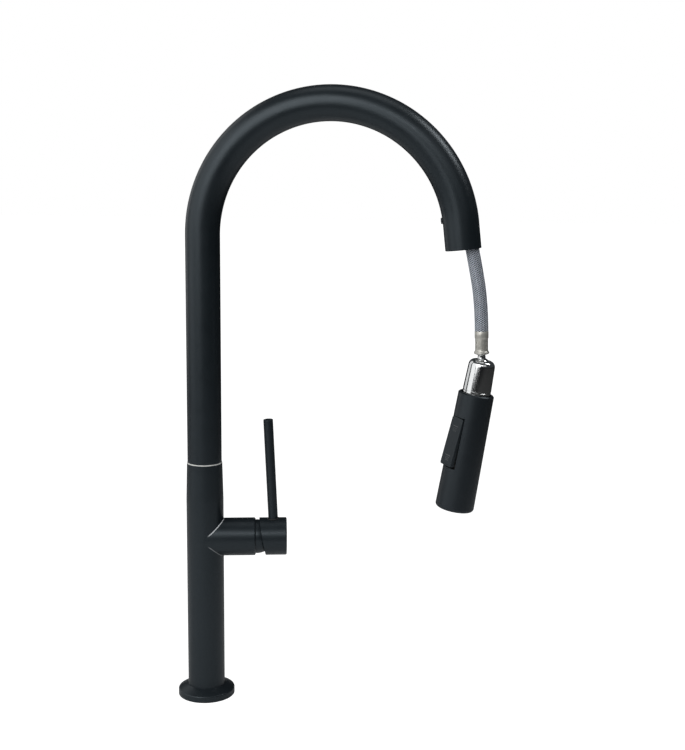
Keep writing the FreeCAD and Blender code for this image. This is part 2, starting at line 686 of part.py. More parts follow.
bush_outer = tube_inner - S.seat_gap
bush_thin = tube_inner - S.bush_relief
bush_step = S.mouth_straight - S.bush_relief
node("docking_bush", cut(
    turned(
        [(S.bush_mouth, S.body_gap), (bush_outer, S.body_gap), (bush_outer, bush_step),
         (bush_thin, bush_step), (bush_thin, S.bush_length), (S.bush_bore, S.bush_length),
         (S.bush_bore, S.bush_funnel)],
    ),
    cross_rod(S.screw_shank + S.seat_gap, -S.spout_radius * 2, 0, "x", up=S.screw_depth),
), MOUTH)
screw_tip = S.spout_radius - S.bush_bore
screw_out = S.spout_radius + S.face_gap * 2.5
node("bush_screw", turned(
    [(0, -screw_tip), (S.screw_shank, -screw_tip), (S.screw_shank, 0), (S.screw_head, 0),
     (S.screw_head, S.screw_rise), (0, S.screw_rise)],
    rounds=[(S.screw_rise * 0.6, S.screw_head, S.screw_rise)],
), MOUTH * FreeCAD.Placement(FreeCAD.Vector(-screw_out.value, 0, S.screw_depth.value),
                             FreeCAD.Rotation(Y_AXIS, -90)))
GUIDE = FreeCAD.Placement(
    FreeCAD.Vector(S.arch_radius.value * (1 + math.cos(radians(S.guide_turn))), 0,
                   S.arch_height.value + S.arch_radius.value * math.sin(radians(S.guide_turn))),
    FreeCAD.Rotation(Y_AXIS, -S.guide_turn.value),
)
node("hose_guide", cut(
    rod(bush_thin, 0, S.guide_length),
    rod(S.hose_radius + S.body_gap, -1, S.guide_length + 1),
), GUIDE)

# ---------------------------------------------------------------- hose
hose_seam = S.post_height + S.washer_height / 2
node("hose_in_spout", piped(S.hose_radius, hose_seam + S.body_gap, S.guide_turn))


BEND_SHARE = 0.45


def hose_tube(label, points, radius, placement=FreeCAD.Placement()):
    """Straight runs joined by tangent arcs through (across, up) points."""
    spots = [FreeCAD.Vector(across, 0, up) for across, up in points]
    runs = [(second - first).Length for first, second in zip(spots, spots[1:])]
    edges = []
    start = spots[0]
    for index in range(1, len(spots) - 1):
        before = (spots[index] - spots[index - 1]).normalize()
        after = (spots[index + 1] - spots[index]).normalize()
        half_turn = before.getAngle(after) / 2
        back = BEND_SHARE * min(runs[index - 1], runs[index])
        bend = back / math.tan(half_turn)
        print(label, "bend radius", round(bend, 1), "turn", round(math.degrees(half_turn) * 2, 1))
        arc_start = spots[index] - before * back
        arc_end = spots[index] + after * back
        inward = (after - before).normalize()
        middle = spots[index] + inward * (bend / math.cos(half_turn) - bend)
        edges.append(Part.makeLine(start, arc_start))
        edges.append(Part.Arc(arc_start, middle, arc_end).toShape())
        start = arc_end
    edges.append(Part.makeLine(start, spots[-1]))
    spine = Part.Wire(edges)
    heading = (spots[1] - spots[0]).normalize()
    section = Part.Wire([Part.makeCircle(radius.value, spots[0], heading)])
    shape = spine.makePipeShell([section], True, False)
    expected = math.pi * radius.value ** 2 * spine.Length
    print(label, "length", round(spine.Length, 1), "volume share", round(shape.Volume / expected, 4))
    item = doc.addObject("Part::Feature", "Hose")
    item.Shape = shape
    return node(label, item, placement)


entry = S.post_height - S.hose_entry
hose_tube("hose_in_body", [
    (-S.passage_back.value, S.plug_height.value + S.body_gap.value),
    (-S.passage_back.value, (entry - S.hose_slant).value),
    (0, entry.value),
    (0, (hose_seam - S.body_gap).value),
], S.hose_radius, BODY)

# The free hose: from the guide, along the mouth's outer wall, and down to its ferrule.
GUIDE_FOOT = GUIDE.Base
FERRULE_TOP = FERRULE.multVec(FreeCAD.Vector(0, 0, S.ferrule_top.value))


def spot(place, across, up):
    """A point of the hose's route, stepped off from another piece's place."""
    return place.x + value(across), place.z + value(up)


hose_tube("spray_hose", [
    spot(GUIDE_FOOT, S.guide_out, -S.guide_fall),
    spot(mouth_centre, -S.wall_in, S.wall_rise),
    spot(mouth_centre, S.bore_out, S.bore_rise),
    spot(mouth_centre, S.mouth_out, -S.mouth_fall),
    spot(FERRULE_TOP, -S.end_in, S.end_rise),
    spot(FERRULE_TOP, 0, S.running_gap),
], S.hose_radius)

# ---------------------------------------------------------------- ferrule and ball
band_foot = S.ferrule_top - S.band_length
rim_top = S.ferrule_foot + S.ferrule_rim
node("hose_ferrule", turned([
    (S.ferrule_bore, S.ferrule_foot), (S.ferrule_collar, S.ferrule_foot),
    (S.ferrule_collar, rim_top), (S.ferrule_body, rim_top + S.ferrule_slope),
    (S.ferrule_body, band_foot - S.band_roll), (S.ferrule_band, band_foot),
    (S.ferrule_band, S.ferrule_top), (S.ferrule_bore, S.ferrule_top),
]), FERRULE)
cone_foot = S.ferrule_foot - S.ferrule_slope
tail_top = S.ferrule_top - S.tail_short
node("ball_stud", cut(
    fuse(ball(S.ball_radius),
         rod(S.neck_radius, 0, cone_foot + S.body_gap),
         cone(S.neck_radius, S.ferrule_body, cone_foot, S.ferrule_foot - S.seat_gap),
         rod(S.ferrule_bore - S.seat_gap, 0, tail_top)),
    rod(S.waterway, -S.ball_radius - 1, tail_top + 1),
), FERRULE)

# ---------------------------------------------------------------- swivel cup
socket = S.ball_radius + S.running_gap
clip_top = S.cup_drop + S.face_gap + S.collar_length
clip_groove = S.cup_spigot - S.groove_depth
clip_low = clip_top + S.spring_clip
node("swivel_cup", cut(
    turned(
        [(0, -S.cup_end), (S.cup_spigot, -S.cup_end), (S.cup_spigot, -S.cup_drop),
         (S.cup_radius, -S.cup_drop), (S.cup_upper, S.cup_top), (0, S.cup_top)],
        rounds=[(S.cup_shoulder, S.cup_upper, S.cup_top)],
    ),
    ball(socket),
    rod(S.cup_opening, 0, S.cup_top + 1),
    rod(S.cup_bore, -S.cup_end - 1, -S.seat_top),
    groove(clip_groove - S.seat_gap, -clip_low, -clip_top),
), SPRAY)
node("ball_seat", cut(
    rod(S.cup_bore - S.seat_gap, -S.seat_bottom, -S.seat_top - S.seat_gap),
    ball(socket),
    rod(S.seat_throat, -S.seat_bottom - 1, 0),
), SPRAY)
nut_foot = -S.seat_bottom - S.nut_height
node("ball_nut", cut(
    rod(S.cup_bore - S.seat_gap, nut_foot, -S.seat_bottom - S.seat_gap),
    rod(S.seat_throat, nut_foot - 1, 0),
), SPRAY)
node("spigot_clip", cut(
    rod(S.cup_spigot + S.spring_clip_out, -clip_low + S.seat_gap, -clip_top - S.seat_gap),
    rod(clip_groove, -clip_low - 1, -clip_top + 1),
    block(S.cup_radius * 2, S.clip_slit, -clip_low - 1, -clip_top + 1, S.cup_radius),
), SPRAY)

# ---------------------------------------------------------------- spray head
rim = -S.rim_drop
face = rim - S.spray_length
flare = (S.face_radius - S.rim_radius) / S.spray_length


def shell_radius(drop):
    """The shell's outer radius at a drop below the ball's centre."""
    return S.rim_radius + flare * (Dim.of(drop) - S.rim_drop)


shell_step = -S.cup_drop - S.face_gap
collar_end = -clip_top + S.face_gap
lip = S.face_radius - S.lip_width
lip_top = face + S.lip_height
HOLE = FreeCAD.Placement(
    FreeCAD.Vector(0, 0, -S.button_drop.value),
    FreeCAD.Rotation(Z_AXIS, S.button_azimuth.value),
)
window_width = S.button_width + S.button_gap * 2
window_half = S.button_length / 2 + S.button_end_gap
node("spray_shell", cut(
    turned(
        [(S.rim_bore, rim), (S.rim_radius, rim), (S.face_radius, face), (lip, face),
         (lip, lip_top), (shell_radius(-lip_top) - S.shell_wall, lip_top),
         (shell_radius(-collar_end) - S.shell_wall, collar_end),
         (S.cup_spigot + S.spin_gap, collar_end), (S.cup_spigot + S.spin_gap, shell_step),
         (S.rim_bore, shell_step)],
        rounds=[(S.face_edge, S.face_radius, face)],
        chamfers=[(S.rim_chamfer, S.rim_radius, rim)],
    ),
    moved(block(S.face_radius, window_width, -window_half, window_half, S.face_radius), HOLE),
), SPRAY)

core_foot = lip_top + S.face_depth + S.seat_gap
neck_top = S.core_socket - S.cup_end
neck = S.cup_bore - S.spin_gap
neck_ring_at = neck_top - S.neck_ring_drop
neck_ring_major = neck - S.neck_ring + S.running_gap
core_rim = shell_radius(-core_foot) - S.shell_wall - S.body_gap
node("spray_waterway", cut(
    fuse(rod(neck, -S.core_top, neck_top),
         rod(S.core_body, core_foot, -S.core_top + S.body_gap),
         rod(core_rim, core_foot, core_foot + S.core_flange)),
    rod(S.core_hollow, core_foot - 1, neck_top + 1),
    groove(neck_ring_major - S.neck_ring - S.seat_gap,
           neck_ring_at - S.neck_ring - S.seat_gap, neck_ring_at + S.neck_ring + S.seat_gap),
), SPRAY)
node("waterway_o_ring", group(ring(neck_ring_major, S.neck_ring, neck_ring_at)), SPRAY)
node("inlet_strainer", cut(
    rod(neck - S.strainer_floor, neck_top + S.seat_gap, neck_top + S.strainer_height),
    rod(neck - S.strainer_height, neck_top + S.strainer_floor, neck_top + S.strainer_height + 1),
), SPRAY)
valve_fit = S.core_hollow - S.seat_gap
valve_top = -S.core_top - S.valve_drop
valve_foot = valve_top - S.valve_length
node("check_valve", cut(
    rod(valve_fit, valve_foot, valve_top),
    cone(S.waterway, valve_fit - 1, valve_foot - 1, valve_top + 1),
), SPRAY)
spool_top = -S.button_drop - S.spool_drop
spool_foot = spool_top - S.spool_length
spool_radius = S.core_hollow - S.running_gap
node("diverter_spool", cut(
    rod(spool_radius, spool_foot, spool_top),
    groove(spool_radius - S.spool_waist, spool_top - S.waist_foot, spool_top - S.waist_top),
    rod(S.waterway, spool_foot - 1, spool_top + 1),
), SPRAY)

NOZZLES = 18
plate_top = core_foot - S.seat_gap
plate_foot = plate_top - S.face_depth
plate_rim = shell_radius(-lip_top) - S.shell_wall - S.seat_gap * 5


def nozzle_spots():
    for turn in range(NOZZLES):
        angle = 2 * math.pi * turn / NOZZLES
        yield S.nozzle_circle * math.cos(angle), S.nozzle_circle * math.sin(angle)


plate_boss = lip - S.seat_gap * 5
aerator_bore = S.aerator_radius + S.seat_gap
node("spray_face", cut(
    fuse(rod(plate_rim, plate_foot + S.seat_gap, plate_top),
         rod(plate_boss, face + S.face_sink, plate_top - 1)),
    rod(aerator_bore, face - 1, plate_top + 1),
    *[rod(S.nozzle_radius + S.seat_gap, face - 1, plate_top + 1, across, side)
      for across, side in nozzle_spots()],
), SPRAY)
tip_foot = face + S.face_sink - S.nozzle_height / 2
node("nozzle_tips", cut(
    group(*[rod(S.nozzle_radius, tip_foot, plate_top, across, side)
            for across, side in nozzle_spots()]),
    group(*[rod(S.nozzle_radius / 2, tip_foot - 1, plate_top + 1, across, side)
            for across, side in nozzle_spots()]),
), SPRAY)
node("aerator", cut(
    rod(S.aerator_radius, face + S.aerator_sink, plate_top),
    rod(S.aerator_radius - S.aerator_rim, face, face + S.aerator_floor),
), SPRAY)

# ---------------------------------------------------------------- rocker button
# Its face is flat, tipped so that its top is sunk and its foot stands proud.
button_face = shell_radius(S.button_drop) + S.button_proud
rock = math.degrees(math.asin(S.button_rise.value / S.button_length.value))
flare_turn = math.degrees(math.atan(flare.value))
rest_turn = -(rock + flare_turn)
print("button rocks", round(2 * rock, 2), "degrees")
pivot = FreeCAD.Vector(S.rocker_reach.value, 0, 0)
ROCKED = (FreeCAD.Placement(pivot, FreeCAD.Rotation(Y_AXIS, rest_turn))
          * FreeCAD.Placement(-pivot, FreeCAD.Rotation()))
half_length = S.button_length / 2
button_back = button_face - S.button_depth
lug_back = S.rocker_reach - S.rocker_pin - S.lug_wall
lug_top = button_back + S.lug_wall
pin_reach = S.lug_width / 2 + 1
node("spray_button", cut(
    fuse(block(S.button_depth, S.button_width, -half_length, half_length,
               button_face - S.button_depth / 2),
         block(lug_top - lug_back, S.lug_width, -S.lug_half, S.lug_half,
               (lug_top + lug_back) / 2)),
    cross_rod(S.rocker_pin + S.seat_gap, -S.button_width, S.button_width, "y",
              across=S.rocker_reach),
), BUTTON * ROCKED)
node("button_pin", group(
    cross_rod(S.rocker_pin, -pin_reach, pin_reach, "y", across=S.rocker_reach)
), BUTTON * ROCKED)
tray_half = window_half + S.tray_wall
tray_outer = shell_radius(S.button_drop - tray_half) - S.shell_wall - S.seat_gap * 5
tray_width = window_width + 2 * S.tray_wall
tray_box = block(S.rocker_reach, tray_width, -tray_half, tray_half,
                 S.tray_floor - S.tray_wall + S.rocker_reach / 2)
tray_hollow = block(S.rocker_reach * 2, window_width, -window_half, window_half,
                    S.tray_floor + S.rocker_reach)
rib_height = S.rocker_reach + S.rocker_pin / 2 - S.tray_floor + S.rib_seat
rib_middle = S.tray_floor - S.rib_seat + rib_height / 2
ribs = [block(rib_height, S.rib_width, -S.rib_half, S.rib_half, rib_middle, side)
        for side in (S.rib_side, -S.rib_side)]
node("button_housing", cut(
    common(fuse(cut(tray_box, tray_hollow), *ribs), rod(tray_outer, -tray_half, tray_half)),
    cross_rod(S.rocker_pin + S.running_gap, -tray_width, tray_width, "y",
              across=S.rocker_reach),
), BUTTON)
node("button_spring", group(
    block(S.leaf_thickness, S.leaf_width, half_length * S.leaf_start.value,
          half_length * S.leaf_end.value, S.tray_floor + S.rib_seat)
), BUTTON)

# ---------------------------------------------------------------- check and write
doc.recompute()
for item in doc.Objects:
    assert not {"Invalid", "Error"} & set(item.State), f"{item.Label} failed: {item.State}"
for label, item in nodes.items():
    assert item.Label == label, f"{label} was renamed {item.Label}"
    assert not item.Shape.isNull() and item.Shape.isValid(), f"{label} has no valid shape"
    assert item.Shape.Solids, f"{label} has no solid"
os.makedirs("parts", exist_ok=True)
for label, item in nodes.items():
    item.Shape.exportStep(f"parts/{label}.step")
    box = item.Shape.BoundBox
    print(f"{label:18s} solids {len(item.Shape.Solids):2d} volume {item.Shape.Volume:10.1f} "
          f"z {box.ZMin:7.1f} {box.ZMax:7.1f}")
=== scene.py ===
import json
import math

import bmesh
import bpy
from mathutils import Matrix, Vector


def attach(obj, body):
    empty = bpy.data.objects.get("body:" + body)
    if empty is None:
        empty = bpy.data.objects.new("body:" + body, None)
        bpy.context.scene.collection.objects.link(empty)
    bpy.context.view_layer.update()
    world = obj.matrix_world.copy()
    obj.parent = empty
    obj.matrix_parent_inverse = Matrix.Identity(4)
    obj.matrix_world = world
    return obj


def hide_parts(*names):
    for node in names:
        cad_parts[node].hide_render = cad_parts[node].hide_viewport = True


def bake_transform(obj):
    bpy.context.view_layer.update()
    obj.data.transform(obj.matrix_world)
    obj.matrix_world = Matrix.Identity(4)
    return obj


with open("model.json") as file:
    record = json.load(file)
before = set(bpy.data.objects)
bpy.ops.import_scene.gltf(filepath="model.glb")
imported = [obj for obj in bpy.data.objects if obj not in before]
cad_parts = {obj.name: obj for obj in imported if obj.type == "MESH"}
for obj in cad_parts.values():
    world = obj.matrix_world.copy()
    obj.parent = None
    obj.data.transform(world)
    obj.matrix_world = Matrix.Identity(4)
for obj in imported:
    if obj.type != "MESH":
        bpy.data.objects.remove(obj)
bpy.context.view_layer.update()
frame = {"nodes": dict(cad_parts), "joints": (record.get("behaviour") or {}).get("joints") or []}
# %% [markdown]
# # A pull-down kitchen faucet in Blender
#
# The frame holds the engineered parts: every tube, seal and pin at its real size, in metres.
# This script gives them their finish and models again, as finer meshes, the pieces whose
# outside a person looks at most: the gooseneck, the braided hose and its crimped end, the
# ball stud, the chrome swivel cup, and the rocker on the spray head.

MM = 0.001
nodes = frame["nodes"]
joints = {joint["name"]: joint for joint in frame["joints"]}

# %% [markdown]
# ## The camera
#
# A product shot of something tall and thin is taken from far off with a long lens, so that the
# verticals stay nearly parallel. The camera stands about a metre away, a little below the top
# of the arch, and looks down slightly. An aim built from a heading, a pitch and a small roll is
# easier to change than three Euler angles.

# %% Place the camera
camera_data = bpy.data.cameras.new("camera")
camera_data.lens = 58.71
camera_data.sensor_width = 36.0
camera = bpy.data.objects.new("camera", camera_data)
bpy.context.scene.collection.objects.link(camera)
CAMERA_PLACE = (0.2757, -0.9502, 0.4302)
HEADING = math.radians(9.63)
PITCH = math.radians(9.08)
ROLL = math.radians(0.49)
camera.matrix_world = (
    Matrix.Translation(CAMERA_PLACE)
    @ Matrix.Rotation(HEADING, 4, "Z")
    @ Matrix.Rotation(math.pi / 2 - PITCH, 4, "X")
    @ Matrix.Rotation(ROLL, 4, "Z")
)
bpy.context.scene.camera = camera
print("camera looks along", [round(x, 3) for x in -camera.matrix_world.col[2].xyz])

# %% [markdown]
# ## Measuring the frame
#
# Most pieces here are round about some axis: the post's, the valve's or the spray head's. So
# each piece is modelled upright about its own Z axis and then carried by a station, a matrix
# that holds that axis. The sizes come from the engineered meshes, measured along the station.

# %% Stations and measures
UP = Vector((0, 0, 1))


def station(origin, up, forward=(1, 0, 0)):
    """A matrix whose Z axis is up and whose X axis is as near forward as it can be."""
    z = Vector(up).normalized()
    x = Vector(forward)
    x = (x - z * x.dot(z)).normalized()
    turn = Matrix((x, z.cross(x), z)).transposed()
    return Matrix.Translation(Vector(origin)) @ turn.to_4x4()


def measure(name, place):
    """Lowest and highest point along the station's Z, and the widest radius about it."""
    inverse = place.inverted()
    spots = [inverse @ vertex.co for vertex in nodes[name].data.vertices]
    heights = [spot.z for spot in spots]
    return min(heights), max(heights), max(spot.xy.length for spot in spots)


ball_centre = Vector(joints["spray_tilt"]["pos_m"])
spray_axis = Vector(joints["spray_spin"]["axis"])
SPRAY = station(ball_centre, spray_axis)
valve_axis = Vector(joints["lever_temperature"]["axis"])
VALVE = station(joints["lever_temperature"]["pos_m"], valve_axis, UP)
POST = Matrix.Identity(4)
for label, place in (("swivel_cup", SPRAY), ("spray_shell", SPRAY), ("handle_cap", VALVE)):
    print(label, [round(size / MM, 2) for size in measure(label, place)])

# %% [markdown]
# ## The hose
#
# The pull-out hose is a thin tube in a braided sheath. Its line leaves the guide inside the
# gooseneck, follows the outer wall to the mouth and hangs to the ferrule. The points are the
# route chosen for the engineered tube; a NURBS curve of order 3 passes smoothly near them.

# %% The hose's route
HOSE_ROUTE = [
    (0.1942, 0, 0.4348), (0.2018, 0, 0.4219), (0.2103, 0, 0.3995), (0.2167, 0, 0.3715),
    (0.22315, 0, 0.3380), (0.22395, 0, 0.31475),
]
HOSE_RADIUS = 5.4 * MM
CORE_SHARE = 0.93
HOSE_STEPS = 40


def route_curve(name, points, radius):
    curve = bpy.data.curves.new(name, "CURVE")
    curve.dimensions = "3D"
    spline = curve.splines.new("NURBS")
    spline.points.add(len(points) - 1)
    for point, spot in zip(spline.points, points):
        point.co = (*spot, 1)
    spline.order_u = 3
    spline.use_endpoint_u = True
    spline.resolution_u = HOSE_STEPS
    curve.bevel_depth = radius
    curve.bevel_resolution = 8
    curve.use_fill_caps = True
    return curve


def curve_line(curve):
    """Points along the curve's own line, in order."""
    depth, curve.bevel_depth = curve.bevel_depth, 0
    probe = bpy.data.objects.new("probe", curve)
    mesh = bpy.data.meshes.new_from_object(probe)
    line = [vertex.co.copy() for vertex in mesh.vertices]
    bpy.data.objects.remove(probe)
    bpy.data.meshes.remove(mesh)
    curve.bevel_depth = depth
    return line


hose_curve = route_curve("hose_core", HOSE_ROUTE, HOSE_RADIUS * CORE_SHARE)
hose_line = curve_line(hose_curve)
hose_length = sum((b - a).length for a, b in zip(hose_line, hose_line[1:]))
print("hose line", len(hose_line), "points,", round(hose_length / MM, 1), "mm long")

# %% [markdown]
# ## Shader maths
#
# A finish here is worked out from the surface's own coordinates: grains, weave and the wear
# along an edge. Written as nodes that takes dozens of lines, so a socket is wrapped in a small
# class whose operators add the Math nodes. Everything else comes from one method.

# %% A shader sheet and its values


class Value:
    """A socket that can be added, scaled and compared like a number."""

    def __init__(self, sheet, socket):
        self.sheet = sheet
        self.socket = socket

    def maths(self, operation, *values):
        return self.sheet.add("ShaderNodeMath", {"operation": operation}, values)

    def __add__(self, other):
        return self.maths("ADD", self, other)

    def __sub__(self, other):
        return self.maths("SUBTRACT", self, other)

    def __mul__(self, other):
        return self.maths("MULTIPLY", self, other)

    def __truediv__(self, other):
        return self.maths("DIVIDE", self, other)

    def __rsub__(self, other):
        return self.maths("SUBTRACT", other, self)

    __radd__ = __add__
    __rmul__ = __mul__

    def power(self, other):
        return self.maths("POWER", self, other)

    def absolute(self):
        return self.maths("ABSOLUTE", self)

    def sine(self):
        return self.maths("SINE", self)

    def step(self, low, high):
        """0 below low, 1 above high and a smooth ramp between; low may be the greater."""
        settings = {"interpolation_type": "SMOOTHSTEP", "data_type": "FLOAT"}
        return self.sheet.add("ShaderNodeMapRange", settings, (self, low, high, 0.0, 1.0))


class Sheet:
    """One material and its nodes."""

    def __init__(self, name, **constants):
        self.material = bpy.data.materials.new(name)
        self.material.use_nodes = True
        self.tree = self.material.node_tree
        self.shader = self.tree.nodes["Principled BSDF"]
        for label, constant in constants.items():
            self.shader.inputs[label.replace("_", " ")].default_value = constant
        self.place = self.add("ShaderNodeTexCoord", {}, (), output="Object")

    def plug(self, socket, value):
        if isinstance(value, Value):
            self.tree.links.new(value.socket, socket)
        elif value is not None:
            socket.default_value = value

    def add(self, kind, settings, values=(), output=0, **named):
        node = self.tree.nodes.new(kind)
        for label, setting in settings.items():
            setattr(node, label, setting)
        for socket, value in zip(node.inputs, values):
            self.plug(socket, value)
        for label, value in named.items():
            self.plug(node.inputs[label.replace("_", " ")], value)
        return Value(self, node.outputs[output])

    def to(self, label, value):
        self.plug(self.shader.inputs[label], value)

    def noise(self, size, detail=2.0, roughness=0.5, stretch=(1, 1, 1)):
        """Noise from 0 to 1 whose grains are about size metres wide."""
        scaled = self.add("ShaderNodeMapping", {}, (self.place,), Scale=stretch)
        return self.add("ShaderNodeTexNoise", {}, (), Vector=scaled, Scale=1 / size,
                        Detail=detail, Roughness=roughness)

    def mix(self, factor, first, second):
        """A colour between two colours."""
        node = self.tree.nodes.new("ShaderNodeMix")
        node.data_type = "RGBA"
        for index, value in ((0, factor), (6, first), (7, second)):
            self.plug(node.inputs[index], value)
        return Value(self, node.outputs[2])

    def along(self, direction, origin=(0, 0, 0)):
        """How far a surface point lies from origin along a direction, in metres."""
        away = self.add("ShaderNodeVectorMath", {"operation": "SUBTRACT"}, (self.place, tuple(origin)))
        return self.add("ShaderNodeVectorMath", {"operation": "DOT_PRODUCT"},
                        (away, tuple(direction)), output="Value")

    def bump(self, height, distance, strength=1.0):
        """Raise the surface by height (0 to 1) times distance metres."""
        self.to("Normal", self.add("ShaderNodeBump", {}, (), Strength=strength,
                                   Distance=distance, Height=height))

# %% [markdown]
# ## The finishes
#
# The faucet's outside has one finish: a matte black coat over brass. Sprayed coats are never
# even. There is a fine grain from the powder, a long slow waviness (orange peel), and patches
# that are a little smoother where a hand rubs them. Each of those is a noise of its own size,
# and they feed the colour, the roughness and a very shallow bump.

# %% The black coat
COAT_TINT = (0.0064, 0.0098, 0.0126)


def black_coat(name, tint, roughness, grain, depth):
    sheet = Sheet(name, Specular_IOR_Level=0.58, Specular_Tint=(0.80, 0.92, 1.0, 1))
    cloud = sheet.noise(28 * MM, 3.0)
    fine = sheet.noise(grain, 2.0, 0.6)
    rubbed = sheet.noise(9 * MM, 2.0).step(0.42, 0.75)
    dark = tuple(0.82 * part for part in tint) + (1,)
    light = tuple(1.22 * part for part in tint) + (1,)
    sheet.to("Base Color", sheet.mix(cloud * 0.55 + fine * 0.45, dark, light))
    sheet.to("Roughness", roughness + (fine - 0.5) * 0.16 + (cloud - 0.5) * 0.07 - rubbed * 0.035)
    peel = sheet.noise(1.9 * MM, 1.0)
    sheet.bump(fine * 0.6 + peel * 0.4, depth, 0.5)
    return sheet


coat = black_coat("black_coat", COAT_TINT, 0.38, 0.16 * MM, 0.012 * MM)
shell_coat = black_coat("shell_coat", (0.0032, 0.0050, 0.0072), 0.42, 0.13 * MM, 0.014 * MM)
button_coat = black_coat("button_coat", (0.0050, 0.0072, 0.0092), 0.48, 0.24 * MM, 0.030 * MM)
print("coats", [sheet.material.name for sheet in (coat, shell_coat, button_coat)])

# %% [markdown]
# ## Plated, turned and moulded metal
#
# Turned brass keeps the rings that the tool left, chrome only a trace of polishing lines, and
# crimped nickel is duller. One recipe makes them all: rings across the part's own axis, a
# cloudy tarnish, and fine scratches, with the amounts set for each metal.

# %% Metals


def turned_metal(name, colour, roughness, ring_pitch, ring_depth, axis=(0, 0, 1), tarnish=0.1,
                 metallic=1.0):
    sheet = Sheet(name, Metallic=metallic)
    along = sheet.along(axis)
    wander = sheet.noise(7 * MM, 2.0)
    rings = (along * (math.tau / ring_pitch) + wander * 2.0).sine() * 0.5 + 0.5
    cloud = sheet.noise(5 * MM, 4.0, 0.6)
    scratches = sheet.noise(0.5 * MM, 2.0, stretch=(1, 1, 0.08)).step(0.62, 0.72)
    worn = tuple(part * (1 - 2.2 * tarnish) for part in colour) + (1,)
    sheet.to("Base Color", sheet.mix(cloud.step(0.35, 0.8), colour + (1,), worn))
    sheet.to("Roughness", roughness + cloud * (0.5 * tarnish) + scratches * 0.05)
    sheet.bump(rings * 0.8 + scratches * 0.2, ring_depth, 0.4)
    return sheet


chrome = turned_metal("chrome", (0.76, 0.77, 0.77), 0.11, 0.9 * MM, 0.0015 * MM, spray_axis, 0.03)
nickel = turned_metal("nickel", (0.62, 0.61, 0.56), 0.34, 0.35 * MM, 0.006 * MM, spray_axis, 0.09,
                      0.6)
steel = turned_metal("steel", (0.56, 0.57, 0.58), 0.26, 0.5 * MM, 0.006 * MM, UP, 0.08)
brass = turned_metal("brass", (0.70, 0.50, 0.22), 0.27, 0.4 * MM, 0.008 * MM, UP, 0.12)
copper = turned_metal("copper", (0.72, 0.36, 0.22), 0.30, 2.0 * MM, 0.004 * MM, UP, 0.18)
print("metals", [sheet.material.name for sheet in (chrome, nickel, steel, brass, copper)])

# %% [markdown]
# ## Rubber, plastic and ceramic
#
# The hidden parts are seen in a section or in an exploded view, so they have a finish too.
# Moulded plastic has a faint sandy texture from the mould, rubber is dull with a bloom on it,
# and the cartridge's ceramic discs are lapped until only a fine speckle is left.

# %% Moulded and pressed materials


def moulded(name, colour, roughness, grain, depth, contrast):
    sheet = Sheet(name)
    cloud = sheet.noise(8 * MM, 3.0)
    fine = sheet.noise(grain, 2.0, 0.6)
    dark = tuple(part * (1 - contrast) for part in colour) + (1,)
    light = tuple(min(1.0, part * (1 + contrast)) for part in colour) + (1,)
    sheet.to("Base Color", sheet.mix(cloud * 0.5 + fine * 0.5, dark, light))
    sheet.to("Roughness", roughness + (fine - 0.5) * 0.2)
    sheet.bump(fine, depth, 0.6)
    return sheet


rubber = moulded("rubber", (0.020, 0.020, 0.021), 0.72, 0.3 * MM, 0.02 * MM, 0.35)
dark_plastic = moulded("dark_plastic", (0.016, 0.017, 0.018), 0.5, 0.25 * MM, 0.02 * MM, 0.25)
grey_plastic = moulded("grey_plastic", (0.19, 0.20, 0.21), 0.45, 0.25 * MM, 0.02 * MM, 0.12)
white_plastic = moulded("white_plastic", (0.70, 0.70, 0.67), 0.42, 0.3 * MM, 0.015 * MM, 0.06)
ceramic = moulded("ceramic", (0.82, 0.81, 0.77), 0.22, 0.12 * MM, 0.004 * MM, 0.07)
sheath = moulded("sheath", (0.16, 0.165, 0.175), 0.5, 0.5 * MM, 0.05 * MM, 0.5)
washer_plastic = moulded("washer_plastic", (0.86, 0.87, 0.84), 0.5, 0.3 * MM, 0.02 * MM, 0.1)
plain = (rubber, dark_plastic, grey_plastic, white_plastic, ceramic, sheath, washer_plastic)
print("moulded", [sheet.material.name for sheet in plain])

# %% [markdown]
# ## Dressing the engineered pieces
#
# Every part of the frame keeps its own mesh and gets one of the finishes above in its material
# slot. The valve tee and the post are one brass casting, and the tee's mitred corner gets a thin
# painted highlight: a near-white line where the boss meets the post, full above the valve's axis
# and fainter below it. Two equal pipes crossing at a right angle meet where their distances along
# and up from the crossing are equal, which a mask can follow.

# %% The post and its mitred corner
POST_RADIUS, BOSS_RADIUS = 15.27 * MM, 15.67 * MM
HIGHLIGHT_EDGE, HIGHLIGHT_CORE = 0.55 * MM, 0.15 * MM
# The near-white colour of the painted highlight along the mitre.
MITRE_HIGHLIGHT_COLOUR = (0.80, 0.82, 0.84, 1)
post_sheet = black_coat("post_coat", COAT_TINT, 0.38, 0.16 * MM, 0.012 * MM)
valve_height = joints["lever_temperature"]["pos_m"][2]
crossing = Vector((0, 0, valve_height))
out_along = post_sheet.along(valve_axis, crossing)
out_up = post_sheet.along(UP, crossing)
apart = (out_along * out_along - out_up * out_up + (BOSS_RADIUS ** 2 - POST_RADIUS ** 2)).absolute()
reach = (out_along * out_along + out_up * out_up).power(0.5) * 2
# Painted highlight: a thin near-white line along the mitre, full above the valve's axis and a quarter
# as bright below it.
line = (apart / reach).step(HIGHLIGHT_EDGE, HIGHLIGHT_CORE) * out_along.step(2 * MM, 5 * MM)
line = line * (out_up.step(-2 * MM, 3 * MM) * 0.75 + 0.25)
base_colour = post_sheet.shader.inputs["Base Color"].links[0].from_socket
post_sheet.to("Base Color", post_sheet.mix(line, Value(post_sheet, base_colour), MITRE_HIGHLIGHT_COLOUR))
print("valve axis height", round(valve_height / MM, 1))

